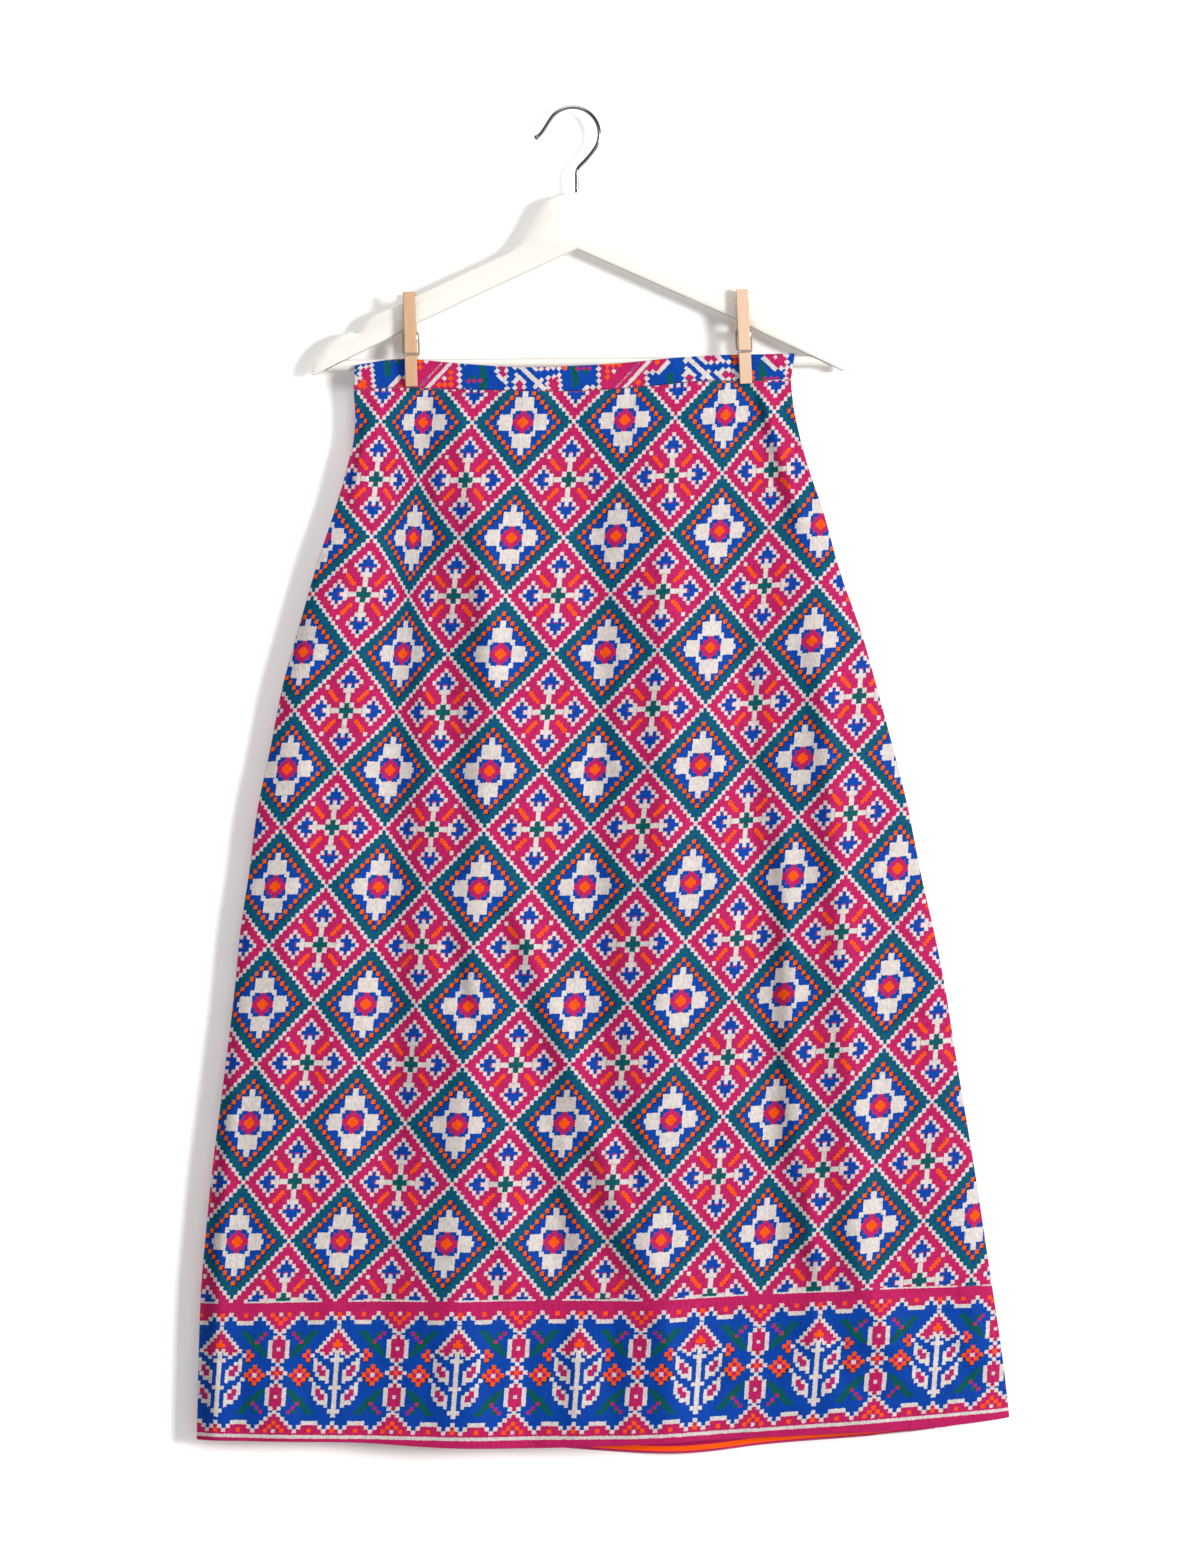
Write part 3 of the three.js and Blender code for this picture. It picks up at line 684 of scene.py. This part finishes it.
BACK_FLUTES = [
    (-110, -262, -150, -1096, 4, -1.8, 16), (-60, -262, -84, -1096, -4, 1.8, 16),
    (4, -262, -16, -1096, 3, -2, 15), (62, -262, 74, -1096, -4, 1.8, 16),
    (126, -300, 170, -1096, 5, -1.8, 15), (-186, -400, -230, -1090, 4, 1.6, 16),
    (196, -400, 244, -1080, -4, 1.8, 15),
]

FRONT_CREASES = [
    # puckers below the waist seam
    (-168, -226, -172, -262, 1, -0.9, 4), (-160, -226, -162, -288, -2, 0.8, 5),
    (-148, -226, -152, -256, 1, -0.8, 3.4), (-120, -226, -124, -250, 1, -0.7, 3.2),
    (-110, -228, -116, -262, -1, 0.7, 3.8), (-101, -228, -104, -248, 0.5, -0.9, 3),
    (-93, -228, -97, -270, 1, 0.7, 3.6), (-84, -229, -86, -256, 0, -0.9, 3.1),
    (-76, -229, -81, -281, -1, 0.8, 4.1), (-66, -229, -68, -253, 0.5, -0.8, 2.9),
    (-57, -229, -60, -267, 1, 0.9, 3.6), (-49, -229, -50, -249, 0, -0.9, 2.9),
    (-40, -230, -45, -284, -1.5, 0.8, 4.2), (-31, -230, -32, -254, 0.5, -1, 3.1),
    (-22, -230, -25, -261, 0.5, 0.8, 3.5), (-13, -230, -13, -251, 0, -0.9, 3),
    (-4, -230, -7, -277, 1, 0.9, 4), (6, -230, 6, -256, 0, -1, 3.2),
    (15, -230, 14, -269, -1, 0.8, 3.9), (25, -230, 27, -252, 0.5, -0.9, 3),
    (34, -229, 33, -263, 0.5, 0.7, 3.6), (46, -229, 48, -254, 0, -0.7, 3.4),
    (60, -228, 61, -274, 1, 0.7, 4.6), (76, -227, 79, -251, 0, -0.7, 3.4),
    (93, -226, 95, -262, -1, 0.6, 4.4), (108, -225, 112, -249, 0, -0.7, 3.6),
    (124, -224, 128, -266, 1, 0.7, 4.2), (150, -222, 158, -268, 2, -1.1, 4.2),
    (160, -221, 171, -290, 2, 1.1, 5), (169, -220, 180, -262, 1, -0.8, 3.6),
    # slanting folds from the upper corners
    (172, -262, 205, -352, 4, 1.4, 8), (188, -290, 214, -392, -3, -1.2, 7),
    (-171, -262, -189, -334, -3, 1.2, 7), (-160, -300, -186, -420, 4, -1, 8.5),
    (-176, -350, -204, -470, 3, 0.9, 9),
    # long soft lines down the front
    (-117, -420, -152, -800, 8, 0.7, 13), (-92, -560, -120, -900, -6, -0.7, 12),
    (-30, -360, -58, -640, 5, -0.7, 12), (48, -400, 46, -760, -6, -0.7, 12),
    (112, -380, 128, -720, 6, 0.7, 13), (176, -470, 204, -820, -7, -0.8, 13),
    (-205, -620, -236, -980, 6, -0.8, 12), (-70, -700, -6, -905, 8, 0.9, 9),
    (-52, -745, 20, -945, -6, -0.9, 8), (24, -820, 44, -1010, 4, 0.7, 11),
    (96, -760, 98, -1010, -5, -0.7, 12), (148, -840, 168, -1040, 5, 0.7, 12),
    (262, -700, 296, -960, 5, -0.8, 12), (232, -900, 262, -1060, -4, 0.8, 11),
    (-262, -840, -276, -1050, 4, 0.7, 11), (-150, -900, -166, -1070, -4, -0.8, 11),
    # ripples along the hem
    (-268, -1040, -276, -1100, 1, -1.3, 8), (-236, -1020, -240, -1100, -1, 1.5, 9),
    (-214, -1030, -222, -1100, 1, -2, 8), (-186, -1030, -190, -1100, -1, 1.5, 9),
    (-117, -1000, -119, -1120, 0, -2.4, 11), (-80, -995, -82, -1120, 1, 3.6, 11),
    (-39, -1000, -38, -1120, -1, -2.6, 10), (3, -985, 5, -1120, 1, 4.2, 9.5),
    (32, -985, 33, -1120, 0, -3.2, 9), (76, -980, 80, -1120, -1, 4.2, 11),
    (112, -1020, 118, -1110, 0, -2.2, 10), (134, -1040, 138, -1100, 0, -1.3, 8),
    (196, -1030, 204, -1096, 1, -1.6, 9), (226, -1050, 300, -1062, 3, -2.8, 6),
    (250, -1064, 330, -1070, -2, 1.4, 6), (226, -1014, 348, -1004, 2, 4.2, 9),
    (300, -990, 340, -1062, 4, -2.8, 8), (316, -960, 346, -1040, -2, 1.5, 7),
]

BACK_CREASES = [
    (-164, -226, -168, -268, 1, -0.8, 4), (-142, -226, -148, -290, -2, 0.8, 5),
    (-112, -228, -116, -256, 1, -0.8, 3.6), (-88, -229, -92, -282, -1, 0.8, 4.2),
    (-64, -229, -66, -252, 0, -0.9, 3.2), (-38, -230, -43, -274, 1, 0.8, 4),
    (-16, -230, -17, -254, 0, -0.9, 3.1), (4, -230, 2, -286, -1, 0.8, 4.4),
    (26, -230, 28, -256, 0.5, -0.8, 3.3), (50, -229, 52, -276, 1, 0.8, 4.2),
    (76, -227, 80, -254, 0, -0.8, 3.5), (104, -226, 109, -272, 1, 0.7, 4.4),
    (148, -223, 156, -276, 2, -1, 4.6), (166, -221, 176, -300, 2, 1, 5.2),
    (-168, -290, -196, -420, -4, 1, 9), (-110, -360, -150, -760, 8, -0.8, 13),
    (-60, -420, -84, -820, -6, 0.7, 13), (-8, -380, -22, -700, 5, -0.8, 12),
    (62, -420, 74, -860, -6, -0.7, 13), (126, -400, 158, -780, 7, 0.7, 13),
    (186, -480, 226, -860, -6, -0.8, 12), (-206, -700, -240, -1010, 5, 0.8, 12),
    (-130, -840, -150, -1060, -5, -0.8, 11), (40, -900, 56, -1070, 4, 0.8, 11),
    (270, -800, 300, -1030, -4, -0.9, 11), (-262, -1036, -268, -1096, 1, 1, 8.5),
    (-206, -1030, -212, -1096, -1, -1, 9), (-150, -1040, -156, -1100, 1, 1, 8),
    (-92, -1030, -96, -1100, -1, -1.1, 8.5), (-34, -1040, -38, -1104, 1, 1, 8.5),
    (26, -1030, 30, -1108, -1, -1.1, 8), (84, -1040, 90, -1108, 1, 1.1, 8.5),
    (146, -1040, 150, -1100, 0, -1, 8.5), (206, -1040, 214, -1096, 1, 1, 8.5),
    (268, -1030, 280, -1088, 1, -1, 8),
]

# How far in the cloth can sink before it comes near the other side's, by height.
SINK_ROOM = [
    # z, depth, in millimetres
    (-1100, 9), (-600, 6.5), (-500, 5), (-400, 3.6),
    (-330, 2.2), (-300, 1.4), (-270, 0.8), (-250, 0.5),
    (-222, 0.1),
]

BAND_SINK = 0.11 * MM  # the two halves of the waistband are only a little apart

BAND_CREASES = [
    (-172, -204, -166, -232, 0, -0.35, 2.6), (-158, -208, -150, -232, 0, 0.45, 2.6),
    (-118, -206, -112, -232, 0, -0.35, 2.3), (-104, -206, -92, -230, 0, 0.45, 2.6),
    (-86, -206, -84, -232, 0, -0.35, 2.3), (-70, -208, -58, -230, 0, 0.5, 2.6),
    (-52, -208, -50, -232, 0, -0.4, 2.3), (-36, -210, -24, -230, 0, 0.5, 2.5),
    (-18, -210, -14, -234, 0, -0.4, 2.4), (0, -210, 12, -232, 0, 0.5, 2.6),
    (18, -210, 20, -234, 0, -0.35, 2.3), (38, -208, 50, -230, 0, 0.45, 2.6),
    (58, -208, 60, -232, 0, -0.35, 2.4), (82, -206, 92, -228, 0, 0.45, 2.6),
    (104, -204, 106, -228, 0, -0.35, 2.4), (124, -203, 132, -226, 0, 0.45, 2.6),
    (152, -202, 160, -226, 0, -0.4, 2.6), (168, -202, 172, -224, 0, 0.45, 2.4),
]
# The same at the back, lower, as the hanger's bar is close there.
BACK_BAND_CREASES = [(*place, rise * 0.65, spread) for *place, rise, spread in BAND_CREASES]


def creased(creases, x, z, whole=(0.18, 0.45)):
    """How far the creases move the cloth outward; they have their whole rise from one share
    of their length to another, and fade from there to their ends."""
    moved = np.zeros_like(x)
    for crease in creases:
        from_x, from_z, to_x, to_z, bow, rise, spread = (n * MM for n in crease)
        run_x, run_z = to_x - from_x, to_z - from_z
        length = math.hypot(run_x, run_z)
        along = ((x - from_x) * run_x + (z - from_z) * run_z) / length**2
        aside = ((x - from_x) * run_z - (z - from_z) * run_x) / length
        t = np.clip(along, 0, 1)
        aside = aside - bow * 4 * t * (1 - t)
        past = (along - t) * length
        width = spread * (0.75 + 0.5 * t)
        fade = smooth_step(0, whole[0], t) * smooth_step(1, whole[1], t)
        near = np.exp(-(aside**2) / width**2 - past**2 / spread**2)
        moved += rise * fade * near
    return moved


def held_back(relief, room):
    """The same relief, sunk in no farther than the room."""
    return np.where(relief < 0, room * np.tanh(relief / room), relief)


def ripples(x, z, seed, waves, least, greatest, height):
    """A faint unevenness, the sum of long waves in all directions."""
    dice = np.random.default_rng(seed)
    total = np.zeros_like(x)
    for _ in range(waves):
        turn = dice.uniform(0, math.pi)
        length = dice.uniform(least, greatest)
        phase = dice.uniform(0, 2 * math.pi)
        total += np.sin(2 * math.pi * (x * math.cos(turn) + 0.6 * z * math.sin(turn)) / length + phase)
    return total * height / math.sqrt(waves)


def placed(name, data):
    """A new object in the scene."""
    made = bpy.data.objects.new(name, data)
    bpy.context.scene.collection.objects.link(made)
    return made


def new_mesh(name, points, faces, material, body="root"):
    mesh = bpy.data.meshes.new(name)
    mesh.from_pydata([tuple(p) for p in points], [], [tuple(f) for f in faces])
    mesh.polygons.foreach_set("use_smooth", np.ones(len(mesh.polygons), bool))
    mesh.materials.append(material)
    made = placed(name, mesh)
    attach(made, body)
    return made


def rimmed(x, z, across, down, inset, side, end):
    """A flat place, drawn in by the inset at the sides and ends, where the rim rounds outward."""
    x = x + inset * (1 - 2 * across) * smooth_step(side, 0, np.minimum(across, 1 - across))
    return x, z - inset * smooth_step(end, 0, down) + inset * smooth_step(1 - end, 1, down)


def shell(name, outer, thick, outward, material, attributes):
    """A thin closed shell inward from a grid of points, with a rounded rim."""
    rows, columns = outer.shape[:2]
    inner = outer - (0, outward * thick, 0)
    count = rows * columns
    index = np.arange(count).reshape(rows, columns)
    quads = np.stack([index[:-1, :-1], index[1:, :-1], index[1:, 1:], index[:-1, 1:]], -1).reshape(-1, 4)
    if outward > 0:
        quads = quads[:, ::-1]
    ring = np.concatenate([index[0], index[1:, -1], index[-1, -2::-1], index[-2:0:-1, 0]])
    outer, inner = outer.reshape(-1, 3), inner.reshape(-1, 3)
    near, far = outer[ring], inner[ring]
    middle, reach = (near + far) / 2, (near - far) / 2
    tangent = np.roll(middle, -1, 0) - np.roll(middle, 1, 0)
    side = np.cross(tangent, reach)
    side /= np.linalg.norm(side, axis=1)[:, None]
    if ((middle - middle.mean(0)) * side).sum() < 0:
        side = -side
    bulge = np.linalg.norm(reach, axis=1)[:, None] * side
    turns = 4
    rim = []
    for angle in math.pi * np.arange(1, turns) / turns:
        rim.append(middle + reach * math.cos(angle) + bulge * math.sin(angle))
    points = np.concatenate([outer, inner, *rim])
    faces = [quads, quads[:, ::-1] + count]
    loops = [ring] + [2 * count + k * len(ring) + np.arange(len(ring)) for k in range(turns - 1)]
    loops.append(ring + count)
    for a, b in zip(loops, loops[1:]):
        strip = np.stack([a, np.roll(a, -1), np.roll(b, -1), b], -1)
        faces.append(strip if outward < 0 else strip[:, ::-1])
    made = new_mesh(name, points, np.concatenate(faces), material)
    for key, (front, back) in attributes.items():
        layer = made.data.attributes.new(key, "FLOAT_VECTOR", "POINT")
        flat = [front.reshape(-1, 3), back.reshape(-1, 3)]
        flat += [flat[0][ring]] * (turns - 1)
        layer.data.foreach_set("vector", np.concatenate(flat).astype(np.float32).ravel())
    return made


def drifted(x, z):
    """The place on the flat print of the cloth that shows at x and z."""
    at, inward, sunk = in_metres(SIDE_DRIFT)
    taken_in = np.interp(z, *in_metres(LEFT_FOLD)) * smooth_step(LEFT_FOLD_FROM, LEFT_FOLD_TO, x)
    return x + np.interp(x, at, inward) - taken_in, z + np.interp(x, at, sunk)


def print_places(along, down, inside=0.0):
    """Places on the print, and whether they are the cloth's inside."""
    return np.stack([along, down, np.full_like(down, inside)], -1)


def lattice_at(x, z):
    """The lattice's columns and rows at a point of the cloth, for its outer and inner face."""
    lift = LATTICE_ARCH * (x - LATTICE_ARCH_X) ** 2
    x, z = drifted(x, z)
    x = x + GATHERED * (x - GATHERED_X) * smooth_step(GATHERED_FROM, GATHERED_TO, z)
    sag = ROW_SAG * (1 - ROW_SAG_POWER * (z - ROW_SAG_Z) ** 2)
    row = (LATTICE_Z - z + sag + lift) / ROW_PITCH
    pitch = COLUMN_PITCH + COLUMN_GROWTH * row
    column = (x - LATTICE_X + LATTICE_LEAN * row * ROW_PITCH) / pitch
    return print_places(column, row), print_places(column, row)


def border_at(x, z):
    """The border's cells along and rows down at a point, for the cloth's outer and inner face."""
    line_x, cut, stripe = in_metres(BORDER_LINES)
    cut_z, stripe_z = stretched(x, line_x, cut), stretched(x, line_x, stripe)
    row = CUT_ROW + (cut_z - z) / (cut_z - stripe_z) * (STRIPE_ROW - CUT_ROW)
    x = drifted(x, z)[0]
    along = (x - BORDER_AXIS_X + BORDER_LEAN * (BORDER_AXIS_Z - z)) / BORDER_CELL
    return print_places(along, row), print_places(along, row, 1.0)


def crowded(count, strength=0.35):
    """Places from 0 to 1, closer together near both ends."""
    even = np.linspace(0, 1, count)
    return even + strength * ((1 - np.cos(math.pi * even)) / 2 - even)


class Side:
    """The front or the back of the skirt."""

    def __init__(self, node, outward, flutes, creases, seed):
        self.wall = Wall(node, outward)
        self.outward = outward
        self.flutes = flutes
        self.creases = creases
        self.seed = seed

    def points(self, across, down, lift=0.0, inset=CLOTH_WALL / 2):
        """Points of the cloth, lift outward from its outer face."""
        x, z = self.wall.flat(across, down)
        y = self.wall.outer_y(across, down)
        calm_side = smooth_step(0, 0.012, np.minimum(across, 1 - across) * 0.45)
        relief = creased(self.flutes, x, z, (0.2, 0.9)) + creased(self.creases, x, z)
        relief = relief + ripples(x, z, self.seed, 14, 0.05, 0.16, 0.5 * MM)
        relief = held_back(relief, np.interp(z, *in_metres(SINK_ROOM))) * calm_side
        y = y + self.outward * (relief * smooth_step(0, 0.012, down) + lift)
        x, z = rimmed(x, z, across, down, inset, 0.03, 0.02)
        return np.stack([x, y, z], -1)

    def cloth(self, name, rows, columns, material):
        down, across = np.meshgrid(np.linspace(0, 1, rows), crowded(columns), indexing="ij")
        outer = self.points(across, down)
        x, z = self.wall.flat(across, down)
        print_x = x if self.outward < 0 else -x
        attributes = {"lattice": lattice_at(print_x, z), "border": border_at(print_x, z)}
        return shell(name, outer, CLOTH_WALL, self.outward, material, attributes)

    def turn_up(self, name, node, columns, material):
        """The hem's allowance, folded up inside."""
        low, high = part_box(node)
        x_at = self.wall.flat(crowded(400), np.ones(400))[0]
        ends = np.interp([low.x, high.x], x_at, crowded(400))
        up, across = np.meshgrid(np.linspace(0, 1, 12), np.linspace(*ends, columns), indexing="ij")
        top, foot = (np.interp(across, *line) for line in self.wall.ends)
        above = HEM_FOLD + TURN_UP * (1 - up)
        down = 1 - above / (top - foot)
        outer = self.points(across, down, -(CLOTH_WALL + SEAM_GAP), inset=0.0)
        marks = print_places(across * 0, above / MM)
        return shell(name, outer, TURN_UP_WALL, self.outward, material, {"border": (marks, marks)})


def band(node, outward, creases, material, slant, start):
    """One half of the waistband, its print cut on a slant, in degrees; the print's stripe runs
    through the start, x and z in millimetres."""
    wall = Wall(node, outward, soften=(0.8, 1.0))
    rows, columns = 26, 330
    down, across = np.meshgrid(np.linspace(0, 1, rows), crowded(columns, 0.1), indexing="ij")
    x, z = wall.flat(across, down)
    y = wall.outer_y(across, down)
    relief = creased(creases, x, z) + ripples(x, z, 7 + (outward > 0), 10, 0.02, 0.06, 0.12 * MM)
    relief = held_back(relief, BAND_SINK)
    calm = smooth_step(0, 0.01, np.minimum(across, 1 - across))
    y = y + outward * relief * calm
    x, z = rimmed(x, z, across, down, BAND_WALL / 2, 0.01, 0.08)
    cos, sin = math.cos(math.radians(slant)), math.sin(math.radians(slant))
    from_x, from_z = x - start[0] * MM, z - start[1] * MM
    along = (from_x * cos + from_z * sin) / BORDER_CELL
    # the band was cut across the border, so the border's rows run slanting along it
    row = STRIPE_ROW - (from_x * sin - from_z * cos) / BORDER_ROW
    repeat = STRIPE_ROW - CUT_ROW + 1.5
    folded = CUT_ROW + np.mod(row - CUT_ROW, repeat)
    faces = print_places(along, folded), print_places(along, folded, 1.0)
    outer = np.stack([x, y, z], -1)
    return shell(node + "_cloth", outer, BAND_WALL, outward, material, {"border": faces})


def sweep(name, route, radius, ball, sides, material):
    """A round wire along a smooth route, with a rounded start and a ball at its end."""
    tangents = np.gradient(route, axis=0)
    tangents /= np.linalg.norm(tangents, axis=1)[:, None]
    normal = np.cross(tangents[0], (0.0, 1.0, 0.02))
    angles = np.linspace(0, 2 * math.pi, sides, endpoint=False)
    last = len(route) - 1
    # rings: the point of the route, how far along from there, and the radius
    stations = [(0, -radius * math.sin(t), radius * math.cos(t)) for t in np.radians((80, 50, 25))]
    stations += [(i, 0, radius) for i in range(len(route))]
    turns = np.radians((-50, -25, 0, 25, 50, 80))
    stations += [(last, ball * math.sin(t), ball * math.cos(t)) for t in turns]
    rings = []
    for i, ahead, width in stations:
        tangent = tangents[i]
        normal = normal - tangent * normal.dot(tangent)
        normal /= np.linalg.norm(normal)
        around = np.outer(np.cos(angles), normal) + np.outer(np.sin(angles), np.cross(tangent, normal))
        rings.append(route[i] + ahead * tangent + width * around)
    index = np.arange(len(rings) * sides).reshape(-1, sides)
    turned = np.roll(index, -1, 1)
    faces = np.stack([index[:-1], turned[:-1], turned[1:], index[1:]], -1).reshape(-1, 4)
    caps = [index[0][::-1], index[-1]]
    return new_mesh(name, np.concatenate(rings), [*faces, *caps], material)


def through_points(points, steps):
    """A smooth curve through points, each span cut into steps."""
    ends = [2 * points[0] - points[1], *points, 2 * points[-1] - points[-2]]
    line = []
    for a, b, c, d in zip(ends, ends[1:], ends[2:], ends[3:]):
        for t in np.linspace(0, 1, steps, endpoint=False):
            bend = (2 * a - 5 * b + 4 * c - d) * t**2 + (3 * b - a - 3 * c + d) * t**3
            line.append(0.5 * (2 * b + (c - a) * t + bend))
    line.append(points[-1])
    return np.array(line)


# ---- The hook, in millimetres ----
WIRE, CROOK, BALL = 1.6, 22.0, 2.24  # radii of the wire, of its crook and of its tip
SHAFT_TILT = math.radians(0.5)
SHAFT_X = 2.8  # of the shaft, carried on down to the neck
SHAFT_FOOT, NECK_TOP = -78.5, -68.5


def hook_route():
    """The hook's centre line: up from the neck, round the crook and down to its tip."""
    lean = math.sin(SHAFT_TILT)
    shaft = SHAFT_X - lean * NECK_TOP
    points = [
        (shaft - lean * (SHAFT_FOOT - NECK_TOP), 0, SHAFT_FOOT),
        (shaft, 0, NECK_TOP),
        (shaft, 0, -60),
        (shaft, 0, -52.5),
        (shaft + 2, 0, -47.5),
        (shaft + 7.8, 0, -41.4),
    ]
    for angle in np.radians(np.linspace(-40, 152, 13)):
        points.append((CROOK * math.cos(angle), 0, WIRE - CROOK + CROOK * math.sin(angle)))
    points += [(-22.4, 0, -14.9), (-25.8, 0, -19.8), (-29.5, 0, -23.1)]
    return through_points(np.array(points) * MM, 8)


def keep_node(name, material):
    """A CAD node that stays: smooth between its rounded faces, crisp at its edges."""
    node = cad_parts[name]
    node.data.materials.clear()
    node.data.materials.append(material)
    node.data.polygons.foreach_set("use_smooth", np.ones(len(node.data.polygons), bool))
    node.modifiers.new("weld", "WELD").merge_threshold = 0.01 * MM
    node.modifiers.new("crisp", "EDGE_SPLIT").split_angle = math.radians(35)


# ------------------------------------------------------------------ the part

camera_data = bpy.data.cameras.new("camera")
camera = placed("camera", camera_data)
bpy.context.scene.camera = camera
camera.location = (
    (PICTURE_WIDE / 2 - ORIGIN_PIXEL[0]) * PIXEL,
    PICTURE_PLANE - CAMERA_AWAY,
    -(PICTURE_TALL / 2 - ORIGIN_PIXEL[1]) * PIXEL,
)
camera.rotation_euler = (math.pi / 2, 0, 0)
camera_data.sensor_width = SENSOR
camera_data.lens = SENSOR * CAMERA_AWAY / (PICTURE_TALL * PIXEL)

printed = cloth_material("printed_cloth")
band_print = cloth_material("band_cloth", with_lattice=False)
hem_inside = hem_material()
paint = painted_wood()
# The right peg's wood is the same wood painted paler, as painted light from the right.
wood = peg_wood("peg_wood", 0.0)
lit_peg_wood = peg_wood("peg_wood_painted_lit", 0.2)
chrome = metal("chrome", (0.5, 0.5, 0.51), 0.12, 0.1)
steel = metal("spring_steel", (0.80, 0.79, 0.77), 0.3, 0.5)

front = Side("skirt_front", -1, FRONT_FLUTES, FRONT_CREASES, 11)
back = Side("skirt_back", 1, BACK_FLUTES, BACK_CREASES, 12)

front_cloth = front.cloth("skirt_front_cloth", 206, 222, printed)
back_cloth = back.cloth("skirt_back_cloth", 190, 206, printed)
front_turn_up = front.turn_up("hem_turnup_front_cloth", "hem_turnup_front", 260, hem_inside)
back_turn_up = back.turn_up("hem_turnup_back_cloth", "hem_turnup_back", 260, hem_inside)
front_band = band("waistband_front", -1, BAND_CREASES, band_print, 47, (-108.7, -218.5))
back_band = band("waistband_back", 1, BACK_BAND_CREASES, band_print, -50, (-60, -218.5))

for piece, node, slot in [
    (front_cloth, "skirt_front", "printed_cloth"),
    (back_cloth, "skirt_back", "printed_cloth"),
    (front_turn_up, "hem_turnup_front", "hem_cloth"),
    (back_turn_up, "hem_turnup_back", "hem_cloth"),
    (front_band, "waistband_front", "band_cloth"),
    (back_band, "waistband_back", "band_cloth"),
]:
    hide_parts(node)

hook = sweep("hanger_hook_wire", hook_route(), WIRE * MM, BALL * MM, 24, chrome)
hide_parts("hanger_hook")

for node in ("hanger_body", "hanger_bar"):
    keep_node(node, paint)
# The right peg takes the wood with painted light.
for peg, material in (("peg_left_", wood), ("peg_right_", lit_peg_wood)):
    keep_node(peg + "front", material)
    keep_node(peg + "rear", material)
    keep_node(peg + "spring", steel)

# ------------------------------------------------------------------ the studio


def plane(name, centre, across, up, material):
    """A flat rectangle of the studio, facing along across × up."""
    centre, across, up = Vector(centre), Vector(across), Vector(up)
    corners = [centre - across - up, centre + across - up, centre + across + up, centre - across + up]
    mesh = bpy.data.meshes.new(name)
    mesh.from_pydata([tuple(c) for c in corners], [], [(0, 1, 2, 3)])
    mesh.materials.append(material)
    made = placed(name, mesh)
    return made


def plain(name, colour, one_way=False):
    """A plain pale surface; one_way can't be seen from behind."""
    graph = Graph(name)
    mottle = graph.noise(3)
    tone = graph.mix(mottle, linear(colour), linear(tuple(c * 0.99 for c in colour)))
    material = graph.finish(tone, 0.9, Specular_IOR_Level=0.1)
    if one_way:
        behind = graph.node("ShaderNodeNewGeometry").outputs["Backfacing"]
        clear = graph.node("ShaderNodeBsdfTransparent").outputs[0]
        both = graph.node("ShaderNodeMixShader")
        for socket, value in zip(both.inputs, (behind, graph.shader.outputs[0], clear)):
            graph.feed(socket, value)
        graph.feed(graph.tree.nodes["Material Output"].inputs["Surface"], both.outputs[0])
    return material


WALL_WHITE = (0.925, 0.918, 0.91)
wall_place = (0, cad_box[1].y + 1 * MM, -0.45)
wall = plane("wall", wall_place, (4, 0, 0), (0, 0, 2.4), plain("wall", WALL_WHITE, one_way=True))
wall.visible_shadow = False
wall.visible_diffuse = False
plane("floor", (0, 0, -1.32), (6, 0, 0), (0, 6, 0), plain("floor", (0.93, 0.93, 0.93)))

LIT = Vector((0.02, 0, -0.6))  # what the lights aim at
for name, place, size, power in [
    # metres, and watts
    ("key", (4.95, -4.95, 0), 1.78, 596),
    ("top", (-0.1, -1.7, 1.5), 1.6, 42),
    ("fill", (-2.4, -3.8, 0.2), 2.4, 20),
    ("rear_left", (-1.1, 4.4, 0.6), 2, 110),
    ("rear_right", (1.1, 4.4, 0.2), 2, 70),
]:
    data = bpy.data.lights.new(name, "AREA")
    data.shape = "DISK"
    data.size = size
    data.energy = power
    light = placed(name, data)
    light.location = place
    light.rotation_euler = (LIT - Vector(place)).to_track_quat("-Z", "Y").to_euler()

world = bpy.data.worlds.new("studio")
bpy.context.scene.world = world
world.use_nodes = True
background = world.node_tree.nodes["Background"]
background.inputs["Color"].default_value = (1.0, 1.0, 1.0, 1.0)
background.inputs["Strength"].default_value = 0.12

bpy.context.scene.view_settings.view_transform = "Standard"
